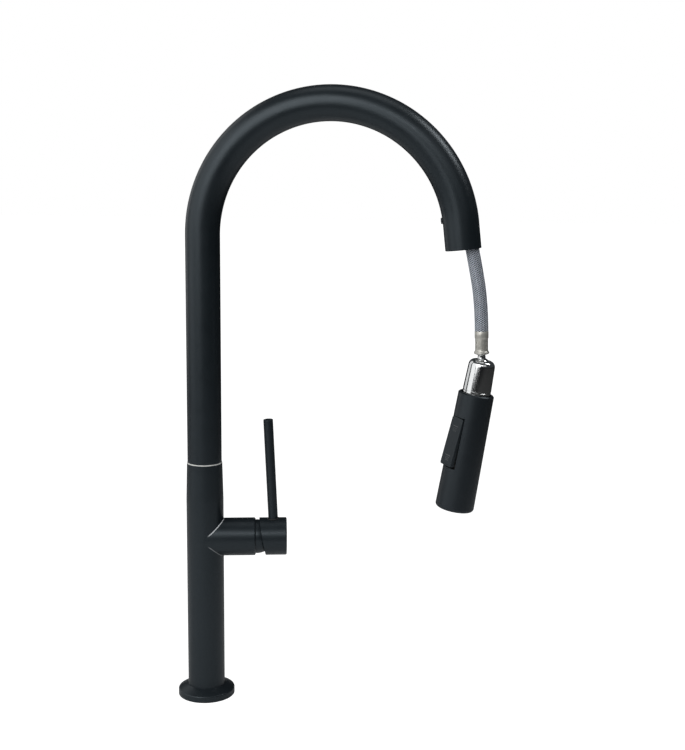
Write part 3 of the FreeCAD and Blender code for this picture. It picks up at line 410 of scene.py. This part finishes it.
# %% Give every node its finish
FINISHES = {
    post_sheet: ("body_tube",),
    coat: ("base_flange", "handle_cap", "lever_rod", "spout_tube", "bonnet_dome", "bush_screw"),
    shell_coat: ("spray_shell",),
    button_coat: ("spray_button",),
    chrome: ("swivel_cup", "ball_stud"),
    nickel: ("hose_ferrule",),
    brass: (
        "base_plug", "valve_block", "cartridge_nut", "cartridge_stem", "ball_nut",
        "swivel_core", "spout_collar",
    ),
    copper: ("hot_inlet_tube", "cold_inlet_tube", "outlet_tube"),
    steel: (
        "stem_pin", "grub_screw", "swivel_clip", "spigot_clip", "inlet_strainer", "button_pin",
        "button_spring",
    ),
    rubber: (
        "flange_gasket", "cartridge_seals", "lever_o_ring", "swivel_o_rings", "waterway_o_ring",
        "nozzle_tips",
    ),
    dark_plastic: ("docking_bush", "button_housing", "spray_face"),
    sheath: ("hose_in_spout", "hose_in_body", "spray_hose"),
    grey_plastic: ("spray_waterway", "aerator", "spindle_carrier", "cartridge_body"),
    white_plastic: ("ball_seat", "check_valve", "diverter_spool", "hose_guide"),
    washer_plastic: ("swivel_washer",),
    ceramic: ("fixed_disc", "moving_disc"),
}
for finish, names in FINISHES.items():
    for name in names:
        for slot in nodes[name].material_slots:
            slot.material = finish.material
dressed = {name for names in FINISHES.values() for name in names}
print("nodes left bare:", sorted(set(nodes) - dressed))

# %% [markdown]
# ## Turning a profile
#
# Round pieces come off a lathe, and here too: half of the outline is drawn as a chain of
# vertices at their radius and height, and spin turns it about Z. The corners that a file would
# break are bevelled afterwards, each with its own radius, because a crisp edge with a small
# round catches the light and a perfect corner doesn't.

# %% Helpers for turned pieces
STEPS = 128


def chain(shape, points):
    """Vertices at (radius, height), joined in order and closed into a ring."""
    spots = [shape.verts.new((radius * MM, 0, height * MM)) for radius, height in points]
    for first, second in zip(spots, spots[1:] + spots[:1]):
        shape.edges.new((first, second))


def turned(points, steps=STEPS):
    shape = bmesh.new()
    chain(shape, points)
    bmesh.ops.spin(shape, geom=shape.verts[:] + shape.edges[:], cent=(0, 0, 0), axis=(0, 0, 1),
                   dvec=(0, 0, 0), angle=math.tau, steps=steps, use_merge=True,
                   use_duplicate=False)
    tidy(shape)
    return shape


def tidy(shape):
    bmesh.ops.remove_doubles(shape, verts=shape.verts, dist=0.002 * MM)
    bmesh.ops.recalc_face_normals(shape, faces=shape.faces)


def soften(shape, radius, low, high, segments=3, inner=0.0):
    """Round the sharp edges whose height is from low to high, in mm, outside a radius."""
    edges = [
        edge for edge in shape.edges
        if edge.calc_face_angle(0) > math.radians(20)
        and all(low * MM <= vertex.co.z <= high * MM for vertex in edge.verts)
        and all(vertex.co.xy.length >= inner * MM for vertex in edge.verts)
    ]
    bmesh.ops.bevel(shape, geom=edges, offset=radius * MM, affect="EDGES", segments=segments,
                    profile=0.5, material=-1, clamp_overlap=True)
    return len(edges)


def piece(name, shape, place, finishes, slot, body, *replaced, sharp=32):
    """Make an object of a bmesh, put its place into its mesh, hide the parts that it replaces and hang
    it on its body.
    """
    shape.transform(place)
    data = bpy.data.meshes.new(name)
    shape.to_mesh(data)
    shape.free()
    data.shade_smooth()
    data.set_sharp_from_angle(angle=math.radians(sharp))
    for finish in finishes:
        data.materials.append(finish.material)
    thing = bpy.data.objects.new(name, data)
    bpy.context.scene.collection.objects.link(thing)
    if replaced:
        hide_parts(*replaced)
    if body:
        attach(thing, body)
    print(name, len(data.polygons), "faces")
    return thing


# %% [markdown]
# ## The gooseneck
#
# The spout is one tube bent on a mandrel: a straight leg, nearly half a circle, and a short
# straight end. A ring of edges is extruded up the leg, spun about the arch's centre and pushed
# on to the mouth, so the tube is as round and even as a drawn one. The mouth turns inwards
# with a small rounded lip, and its inside wall is seen from below.

# %% Bend the gooseneck
SPOUT_RADIUS, SPOUT_WALL = 14.0, 1.0
SPOUT_FOOT, ARCH_HEIGHT, ARCH_RADIUS = 200.0, 385.25, 103.4
MOUTH_LEAN, MOUTH_STRAIGHT, LIP = math.radians(6.5), 19.5, 0.5
ARCH_STEPS = 120
spout = bmesh.new()
bmesh.ops.create_circle(spout, cap_ends=False, segments=96, radius=(SPOUT_RADIUS - SPOUT_WALL) * MM)
bmesh.ops.translate(spout, verts=spout.verts, vec=(0, 0, SPOUT_FOOT * MM))


def rim_edges(made):
    return [item for item in made if isinstance(item, bmesh.types.BMEdge)]


def push(shape, edges, offset, scale=1.0):
    """Extrude a ring of edges, then move it by offset and scale it about its own centre."""
    made = bmesh.ops.extrude_edge_only(shape, edges=edges)["geom"]
    spots = [item for item in made if isinstance(item, bmesh.types.BMVert)]
    if scale != 1.0:
        middle = sum((vertex.co for vertex in spots), Vector()) / len(spots)
        bmesh.ops.scale(shape, verts=spots, vec=(scale,) * 3, space=Matrix.Translation(-middle))
    bmesh.ops.translate(shape, verts=spots, vec=offset)
    return rim_edges(made)


ring = spout.edges[:]
ring = push(spout, ring, (0, 0, 0), SPOUT_RADIUS / (SPOUT_RADIUS - SPOUT_WALL))
leg = (ARCH_HEIGHT - SPOUT_FOOT) * MM
for share in (0.01, 0.33, 0.33, 0.33):
    ring = push(spout, ring, (0, 0, leg * share))
spun = bmesh.ops.spin(
    spout, geom=ring, cent=(ARCH_RADIUS * MM, 0, ARCH_HEIGHT * MM), axis=(0, 1, 0),
    dvec=(0, 0, 0), angle=math.pi - MOUTH_LEAN, steps=ARCH_STEPS, use_merge=False,
    use_duplicate=False,
)
ring = rim_edges(spun["geom_last"])
mouth_way = Vector((math.sin(MOUTH_LEAN), 0, -math.cos(MOUTH_LEAN)))
ring = push(spout, ring, mouth_way * (MOUTH_STRAIGHT - LIP) * MM)
ring = push(spout, ring, mouth_way * LIP * MM)
ring = push(spout, ring, (0, 0, 0), (SPOUT_RADIUS - SPOUT_WALL) / SPOUT_RADIUS)
ring = push(spout, ring, -mouth_way * (MOUTH_STRAIGHT - 1) * MM)
spun = bmesh.ops.spin(
    spout, geom=ring, cent=(ARCH_RADIUS * MM, 0, ARCH_HEIGHT * MM), axis=(0, 1, 0),
    dvec=(0, 0, 0), angle=-(math.pi - MOUTH_LEAN), steps=ARCH_STEPS, use_merge=False,
    use_duplicate=False,
)
ring = rim_edges(spun["geom_last"])
push(spout, ring, (0, 0, -leg + 1 * MM))
tidy(spout)

# %% Round the lip and the foot, and close the inside
open_rims = [edge for edge in spout.edges if edge.is_boundary]
bmesh.ops.bridge_loops(spout, edges=open_rims)
lip = [edge for edge in spout.edges if edge.calc_face_angle(0) > math.radians(50)]
bmesh.ops.bevel(spout, geom=lip, offset=0.32 * MM, affect="EDGES", segments=3, profile=0.5,
                material=-1, clamp_overlap=True)
tidy(spout)
piece("gooseneck", spout, POST, [coat], "black_metal", "spout", "spout_tube")

# %% [markdown]
# ## The braided hose
#
# A pull-out hose wears a braid of flat ribbons, twelve wound each way, that pass over and under
# each other. Spin with a rise per step makes one helical ribbon, a second spin copies it round,
# and a mirrored copy winds the other way. The two sets rise and sink in turn, so at each
# crossing one is on top. Last, the straight braid is bent onto the hose's line. It is done by
# moving points, because a curve modifier would stay live and slide the pattern.

# %% The ribbons of the braid
CARRIERS = 12
LEAD = 20.2 * MM
RIBBON_WIDTH = 1.05 * MM
BRAID_STEP = 0.28 * MM
WEAVE_RISE = 0.17 * MM
RIBBON_SINK, RIBBON_THICKNESS = 0.30 * MM, 0.16 * MM
CORE_SINK = 0.42 * MM
braid_core = HOSE_RADIUS - CORE_SINK
braid_turn = math.tau * hose_length / LEAD
braid_steps = round(hose_length / BRAID_STEP)
crossing_rise = LEAD / (2 * CARRIERS)


def ribbon_set(direction):
    """Twelve ribbons wound one way, woven by a rise that depends on height alone."""
    shape = bmesh.new()
    across = shape.verts.layers.float.new("across")
    slope = math.atan(LEAD / (math.tau * HOSE_RADIUS))
    half_angle = RIBBON_WIDTH / 2 / HOSE_RADIUS / math.cos(slope)
    corners = []
    for offset, rise in ((-1, 0), (-0.55, 0.9), (0.55, 0.9), (1, 0)):
        angle = offset * half_angle
        radius = HOSE_RADIUS - RIBBON_SINK + rise * RIBBON_THICKNESS
        spot = shape.verts.new((radius * math.cos(angle), radius * math.sin(angle), 0))
        spot[across] = offset
        corners.append(spot)
    for first, second in zip(corners, corners[1:]):
        shape.edges.new((first, second))
    bmesh.ops.spin(shape, geom=shape.verts[:] + shape.edges[:], cent=(0, 0, 0), axis=(0, 0, 1),
                   dvec=(0, 0, hose_length / braid_steps), angle=braid_turn, steps=braid_steps,
                   use_merge=False, use_duplicate=False)
    bmesh.ops.spin(shape, geom=shape.verts[:] + shape.edges[:] + shape.faces[:],
                   cent=(0, 0, 0), axis=(0, 0, 1), dvec=(0, 0, 0), use_duplicate=True,
                   angle=math.tau * (CARRIERS - 1) / CARRIERS, steps=CARRIERS - 1)
    for vertex in shape.verts:
        rise = direction * WEAVE_RISE * math.cos(math.pi * vertex.co.z / crossing_rise)
        vertex.co.xy *= 1 + rise / HOSE_RADIUS
    if direction < 0:
        bmesh.ops.scale(shape, verts=shape.verts, vec=(1, -1, 1))
        bmesh.ops.reverse_faces(shape, faces=shape.faces)
    return shape


clockwise, counter = ribbon_set(1), ribbon_set(-1)
print("ribbons", len(clockwise.faces), "+", len(counter.faces), "faces")

# %% Join the braid and its core, and bend them onto the line
hose_shape = bmesh.new()
for part in (clockwise, counter):
    spare = bpy.data.meshes.new("ribbons")
    part.to_mesh(spare)
    part.free()
    hose_shape.from_mesh(spare)
    bpy.data.meshes.remove(spare)
CORE_SIDES, CORE_STEPS = 48, 80
made = bmesh.ops.create_circle(hose_shape, cap_ends=False, segments=CORE_SIDES, radius=braid_core)
ring = list({edge for vertex in made["verts"] for edge in vertex.link_edges})
for step in range(CORE_STEPS):
    ring = push(hose_shape, ring, (0, 0, hose_length / CORE_STEPS))
    for face in hose_shape.faces[-CORE_SIDES:]:
        face.material_index = 1
arc = [0.0]
for first, second in zip(hose_line, hose_line[1:]):
    arc.append(arc[-1] + (second - first).length)


def on_line(distance):
    """The point on the hose's line at a distance along it, and the direction there."""
    index = 1
    while index < len(arc) - 2 and arc[index] < distance:
        index += 1
    first, second = hose_line[index - 1], hose_line[index]
    share = (distance - arc[index - 1]) / (arc[index] - arc[index - 1])
    ahead = hose_line[min(index + 1, len(arc) - 1)] - hose_line[max(index - 2, 0)]
    return first.lerp(second, share), ahead.normalized()


for vertex in hose_shape.verts:
    spot, ahead = on_line(vertex.co.z)
    outward = Vector((-ahead.z, 0, ahead.x))
    vertex.co = spot + outward * vertex.co.x + Vector((0, vertex.co.y, 0))
hose_shape.normal_update()
print("hose mesh", len(hose_shape.faces), "faces")

# %% [markdown]
# ## The braid's finish
#
# The ribbons are bundles of thin bright filaments, so each has fine grooves along its length,
# which a shallow bump gives, and its colour is lighter on the crowns and darker in the grooves:
# a painted highlight and painted shade. The "across" attribute stored on the points runs from
# -1 to 1 over a ribbon, and a sine of it draws the filaments wherever the ribbon goes. Its edges
# are painted nearly black, a painted shade that sets each ribbon apart from the one it crosses.

# %% Braid materials
braid = Sheet("braid", Metallic=0.25)
across = braid.add("ShaderNodeAttribute", {"attribute_name": "across"}, (), output=2)
FILAMENTS = 3.0
# The filaments across each ribbon: the bump uses them for real grooves, the colour for a painted
# highlight on the crowns and painted shade in the grooves.
filament_ridges_and_glint = (across * (math.tau * FILAMENTS)).sine() * 0.5 + 0.5
# Painted shade: the ribbons' edges are coloured nearly black.
edge = across.absolute().step(0.55, 1.0)
soil = braid.noise(6 * MM, 3.0)
# Painted highlight and shade: lighter colour on the filaments' crowns, darker in their grooves, mixed
# with random tone.
ribbon_tone_and_glint = braid.mix(filament_ridges_and_glint * 0.5 + soil * 0.5, (0.47, 0.52, 0.60, 1), (0.80, 0.86, 0.95, 1))
braid.to("Base Color", braid.mix(edge, ribbon_tone_and_glint, (0.045, 0.048, 0.055, 1)))
braid.to("Roughness", 0.30 + soil * 0.16 + edge * 0.2)
braid.bump(filament_ridges_and_glint, 0.02 * MM, 0.7)
hose_core = moulded("hose_core", (0.012, 0.012, 0.013), 0.65, 0.4 * MM, 0.02 * MM, 0.4)

# %% Place the hose
hose = piece("braided_hose", hose_shape, POST, [braid, hose_core], "braid", None, "spray_hose",
             sharp=60)
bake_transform(hose)

# %% [markdown]
# ## The crimped ferrule
#
# A press squeezes the ferrule onto the hose, which leaves two rings of dimples, a wide band at
# the top and a flare at the foot. It is turned first, then half of the facets of two rows, in
# groups of three, are inset and sunk, which is how the jaws of the press leave it.

# %% Turn and crimp the ferrule
hose_way = hose_line[-1] - ball_centre
FERRULE = station(ball_centre, hose_way)
ferrule_low, ferrule_high, ferrule_radius = measure("hose_ferrule", FERRULE)
print("ferrule from", round(ferrule_low / MM, 2), "to", round(ferrule_high / MM, 2),
      "radius", round(ferrule_radius / MM, 2))
ferrule = turned((
    (3.0, 9.8), (5.5, 9.8), (5.9, 10.4), (5.95, 10.9), (5.8, 11.5), (5.3, 12.1), (5.05, 12.9),
    (5.05, 14.0), (5.05, 16.0), (5.05, 17.6), (5.05, 19.6), (5.05, 21.8), (5.2, 22.0),
    (5.4, 22.4), (5.4, 27.3), (5.2, 27.7), (3.0, 27.7), (3.0, 19.0),
), steps=72)
DIMPLE_FRAME, DIMPLE_DEPTH = 0.16 * MM, 0.28 * MM
for low, high in ((14.0, 16.0), (17.6, 19.6)):
    rows = [
        face for face in ferrule.faces
        if low * MM < face.calc_center_median().z < high * MM
        and face.calc_center_median().xy.length > 4 * MM
    ]
    rows.sort(key=lambda face: math.atan2(face.calc_center_median().y, face.calc_center_median().x))
    jaws = [face for number, face in enumerate(rows) if number % 6 in (1, 2, 3)]
    bmesh.ops.inset_region(ferrule, faces=jaws, thickness=DIMPLE_FRAME, depth=-DIMPLE_DEPTH,
                           use_boundary=True, use_even_offset=True)
soften(ferrule, 0.12, 9.5, 13.2, segments=2)
crimp = piece("crimped_ferrule", ferrule, FERRULE, [nickel], "steel", "hose_end", "hose_ferrule")

# %% [markdown]
# ## The ball stud
#
# Below the ferrule a polished neck runs down to the ball that lets the spray head swing. Only
# the neck and a little of the ball show above the cup. The neck meets the ball in a small
# fillet, which is what a lathe tool's nose leaves.

# %% Turn the ball stud
BALL_RADIUS, NECK_RADIUS = 7.0, 3.1
stud_low, stud_high, stud_radius = (size / MM for size in measure("ball_stud", FERRULE))
print("ball stud from", round(stud_low, 2), "to", round(stud_high, 2),
      "radius", round(stud_radius, 2))
ball_arc = [
    (BALL_RADIUS * math.cos(math.radians(tilt)), BALL_RADIUS * math.sin(math.radians(tilt)))
    for tilt in range(-72, 61, 4)
]
STUD_BORE, STUD_TAIL = 2.0, 2.9
stud = turned([
    (STUD_BORE, stud_low), *ball_arc, (3.15, 6.32), (NECK_RADIUS, 6.5), (NECK_RADIUS, 8.3),
    (2.8, 8.5), (2.8, 8.8), (3.6, 9.2), (4.9, 9.75), (STUD_TAIL, 9.78), (STUD_TAIL, stud_high),
    (STUD_BORE, stud_high),
])
piece("ball_stud_turned", stud, FERRULE, [chrome], "chrome", "hose_end", "ball_stud")

# %% [markdown]
# ## The swivel cup
#
# The chrome cup is the brightest thing on the faucet: a straight barrel under a round
# shoulder, open on top for the neck. Polished chrome shows every flat, so the shoulder is an
# arc of many short steps, and the barrel has one fine groove above the spray head's rim.

# %% Turn the cup
CUP_RADIUS, CUP_UPPER, CUP_TOP, CUP_SHOULDER, CUP_OPENING = 11.15, 10.45, 5.2, 4.8, 5.4
CUP_DROP, CUP_SPIGOT, CUP_END, CUP_BORE = -24.0, 9.9, -30.9, 7.8
CUP_GROOVE, GROOVE_DEPTH, CUP_BREAK = -19.5, 0.22, 0.3
cup_low, cup_high, cup_widest = (size / MM for size in measure("swivel_cup", SPRAY))
print("cup from", round(cup_low, 2), "to", round(cup_high, 2), "radius", round(cup_widest, 2))
shoulder = [
    (
        CUP_UPPER - CUP_SHOULDER + CUP_SHOULDER * math.cos(math.radians(tilt)),
        CUP_TOP - CUP_SHOULDER + CUP_SHOULDER * math.sin(math.radians(tilt)),
    )
    for tilt in range(1, 91, 6)
]
cup = turned([
    (CUP_BORE, CUP_END), (CUP_SPIGOT - CUP_BREAK, CUP_END), (CUP_SPIGOT, CUP_END + CUP_BREAK),
    (CUP_SPIGOT, CUP_DROP), (CUP_RADIUS - CUP_BREAK, CUP_DROP),
    (CUP_RADIUS, CUP_DROP + CUP_BREAK), (CUP_RADIUS, CUP_GROOVE - 0.4),
    (CUP_RADIUS - GROOVE_DEPTH, CUP_GROOVE - 0.2), (CUP_RADIUS - GROOVE_DEPTH, CUP_GROOVE + 0.2),
    (CUP_RADIUS, CUP_GROOVE + 0.4), *shoulder, (CUP_OPENING + 0.2, CUP_TOP),
    (CUP_OPENING, CUP_TOP - CUP_BREAK), (CUP_OPENING, 4.6), (6.4, 3.2), (CUP_BORE, 1.0),
], steps=160)
piece("swivel_cup_turned", cup, SPRAY, [chrome], "chrome", "cup", "swivel_cup", sharp=40)

# %% [markdown]
# ## The rocker
#
# The spray head's rocker is a flat paddle, tipped so that its top is sunk and its foot stands
# proud. Its corners are rounded, and a shallow recess holds the face. Two printed marks, each a
# thin bar over a few dots, show where to press for each kind of spray.

# %% Model the rocker
PADDLE_LENGTH, PADDLE_WIDTH, PADDLE_DEPTH = 39.4, 14.0, 3.2
PADDLE_CORNER, PADDLE_EDGE, FRAME_WIDTH, RECESS_STEP, RECESS = 1.6, 0.45, 0.9, 0.12, 0.10
LUG_CENTRE, LUG_SIZE = (0.6, 0, 0), (2.9, 10.0, 4.0)
MARK_HEIGHTS, MARK_BAR, DOT_PITCH, ROW_PITCH = (12.6, -11.2), (0.06, 6.4, 0.32), 1.5, 1.2
REST_TURN = math.radians(-5.65)
rock_axis = Vector(joints["button_rock"]["axis"])
rock_pivot = Vector(joints["button_rock"]["pos_m"])
upright_rocker = station(rock_pivot, spray_axis, rock_axis.cross(spray_axis))
ROCKER = upright_rocker @ Matrix.Rotation(REST_TURN, 4, "Y")
paddle_spots = [ROCKER.inverted() @ vertex.co for vertex in nodes["spray_button"].data.vertices]
paddle_face = max(spot.x for spot in paddle_spots) / MM
print("paddle face", round(paddle_face, 2), "length",
      round((max(s.z for s in paddle_spots) - min(s.z for s in paddle_spots)) / MM, 2))


def bar(shape, centre, size):
    """A box, in mm, with its corners where centre and size put them."""
    place = Matrix.Translation(Vector(centre) * MM) @ Matrix.Diagonal((*(s * MM for s in size), 1))
    return bmesh.ops.create_cube(shape, size=1.0, matrix=place)["verts"]


paddle = bmesh.new()
bar(paddle, (paddle_face - PADDLE_DEPTH / 2, 0, 0), (PADDLE_DEPTH, PADDLE_WIDTH, PADDLE_LENGTH))
upright = [edge for edge in paddle.edges if abs(edge.verts[0].co.x - edge.verts[1].co.x) > MM]
bmesh.ops.bevel(paddle, geom=upright, offset=PADDLE_CORNER * MM, affect="EDGES", segments=5,
                profile=0.5, material=-1, clamp_overlap=True)


def front_face(shape):
    """The face that lies furthest out along X."""
    return max(shape.faces, key=lambda face: face.calc_center_median().x)


bmesh.ops.bevel(paddle, geom=list(front_face(paddle).edges), offset=PADDLE_EDGE * MM,
                affect="EDGES", segments=3, profile=0.5, material=-1, clamp_overlap=True)
front = [front_face(paddle)]
bmesh.ops.inset_region(paddle, faces=front, thickness=FRAME_WIDTH * MM, depth=0.0)
bmesh.ops.inset_region(paddle, faces=front, thickness=RECESS_STEP * MM, depth=-RECESS * MM)
tidy(paddle)
bar(paddle, LUG_CENTRE, LUG_SIZE)

# %% Print its two marks
bare = set(paddle.faces)
mark_face = paddle_face - RECESS
for height in MARK_HEIGHTS:
    bar(paddle, (mark_face, 0, height), MARK_BAR)
    dot = 0.80 if height < 0 else 0.55
    for row in range(3):
        for column in range(-1, 2):
            bar(paddle, (mark_face, column * DOT_PITCH, height - 1.6 - row * ROW_PITCH),
                (MARK_BAR[0], dot, 0.4))
for face in paddle.faces:
    if face not in bare:
        face.material_index = 1
mark = moulded("mark", (0.13, 0.135, 0.14), 0.5, 0.3 * MM, 0.01 * MM, 0.1)
piece("rocker_paddle", paddle, ROCKER, [button_coat, mark], "black_plastic", "button", "spray_button")

# %% [markdown]
# ## Floor and light
#
# The faucet stands on a plain pale floor in a studio whose far wall is out of sight and white.
# A row of tall softboxes on the left gives the black coat its broad soft highlight, and the
# right stays dark, so that the tubes look round. A matte black thing is drawn by what is dark
# around it as much as by the lights. So the floor is pale only near the faucet, where it throws
# some light up, and dark further off, where the chrome would mirror it.

# %% The pale floor
FLOOR_HALF, PALE_TO, DARK_FROM = 12.0, 0.55, 0.95
GLOW_STRENGTH, GLOW_SHARE = 1.25, 0.90
floor_shape = bmesh.new()
bmesh.ops.create_grid(floor_shape, x_segments=2, y_segments=2, size=FLOOR_HALF)
floor_sheet = Sheet("pale_floor", Roughness=0.9)
floor_tone = floor_sheet.noise(0.4, 2.0)
near = floor_sheet.mix(floor_tone, (0.80, 0.80, 0.80, 1), (0.84, 0.84, 0.84, 1))
distance = floor_sheet.add("ShaderNodeVectorMath", {"operation": "LENGTH"}, (floor_sheet.place,),
                           output="Value")
far = (0.06, 0.06, 0.06, 1)
floor_sheet.to("Base Color", floor_sheet.mix(distance.step(PALE_TO, DARK_FROM), near, far))
glow = floor_sheet.add("ShaderNodeEmission", {}, ((1, 1, 1, 1), GLOW_STRENGTH))
seen = floor_sheet.add("ShaderNodeLightPath", {})
lit = Value(floor_sheet, floor_sheet.shader.outputs[0])
floor_look = floor_sheet.add("ShaderNodeMixShader", {}, (seen * GLOW_SHARE, lit, glow))
floor_sheet.plug(floor_sheet.tree.nodes["Material Output"].inputs["Surface"], floor_look)
floor_data = bpy.data.meshes.new("floor")
floor_shape.to_mesh(floor_data)
floor_shape.free()
floor_data.materials.append(floor_sheet.material)
floor = bpy.data.objects.new("floor", floor_data)
bpy.context.scene.collection.objects.link(floor)

# %% The softboxes


def softbox(name, place, aim, width, height, radiance):
    """An area light whose face has this radiance, aimed at a point."""
    data = bpy.data.lights.new(name, "AREA")
    data.shape = "RECTANGLE"
    data.size, data.size_y = width, height
    data.energy = radiance * math.pi * width * height
    light = bpy.data.objects.new(name, data)
    light.matrix_world = Matrix.Translation(place) @ (
        (Vector(aim) - Vector(place)).to_track_quat("-Z", "Y").to_matrix().to_4x4()
    )
    bpy.context.scene.collection.objects.link(light)
    light.visible_camera = False


softbox("left", (-1.40, -0.70, 0.85), (0.1, 0, 0.4), 1.4, 1.8, 1.1)
softbox("front_left", (-0.55, -1.65, 1.10), (0.1, 0, 0.4), 1.3, 1.6, 2.6)
softbox("back_left", (-1.35, 0.70, 0.85), (0.1, 0, 0.4), 1.0, 1.8, 0.75)
softbox("front_high", (0.43, -1.65, 1.25), (0.1, 0, 0.3), 0.6, 0.26, 6.0)
softbox("front_right", (1.10, -1.35, 1.25), (0.1, 0, 0.3), 1.0, 1.0, 0.55)
softbox("back_right", (1.10, 0.20, 1.40), (0.2, 0, 0.45), 0.35, 0.6, 7.5)
softbox("overhead", (0.1, 0.1, 1.9), (0.1, 0, 0.3), 1.2, 0.8, 0.8)
world = bpy.data.worlds.new("studio")
bpy.context.scene.world = world
world.use_nodes = True
world_nodes, world_links = world.node_tree.nodes, world.node_tree.links
shown = world_nodes.new("ShaderNodeBackground")
shown.inputs["Color"].default_value = (1, 1, 1, 1)
felt = world_nodes["Background"]
felt.inputs["Color"].default_value = (0.040, 0.044, 0.048, 1)
path = world_nodes.new("ShaderNodeLightPath")
blend_of_two = world_nodes.new("ShaderNodeMixShader")
world_links.new(path.outputs["Is Camera Ray"], blend_of_two.inputs[0])
world_links.new(felt.outputs[0], blend_of_two.inputs[1])
world_links.new(shown.outputs[0], blend_of_two.inputs[2])
world_links.new(blend_of_two.outputs[0], world_nodes["World Output"].inputs["Surface"])
bpy.context.scene.view_settings.view_transform = "Standard"
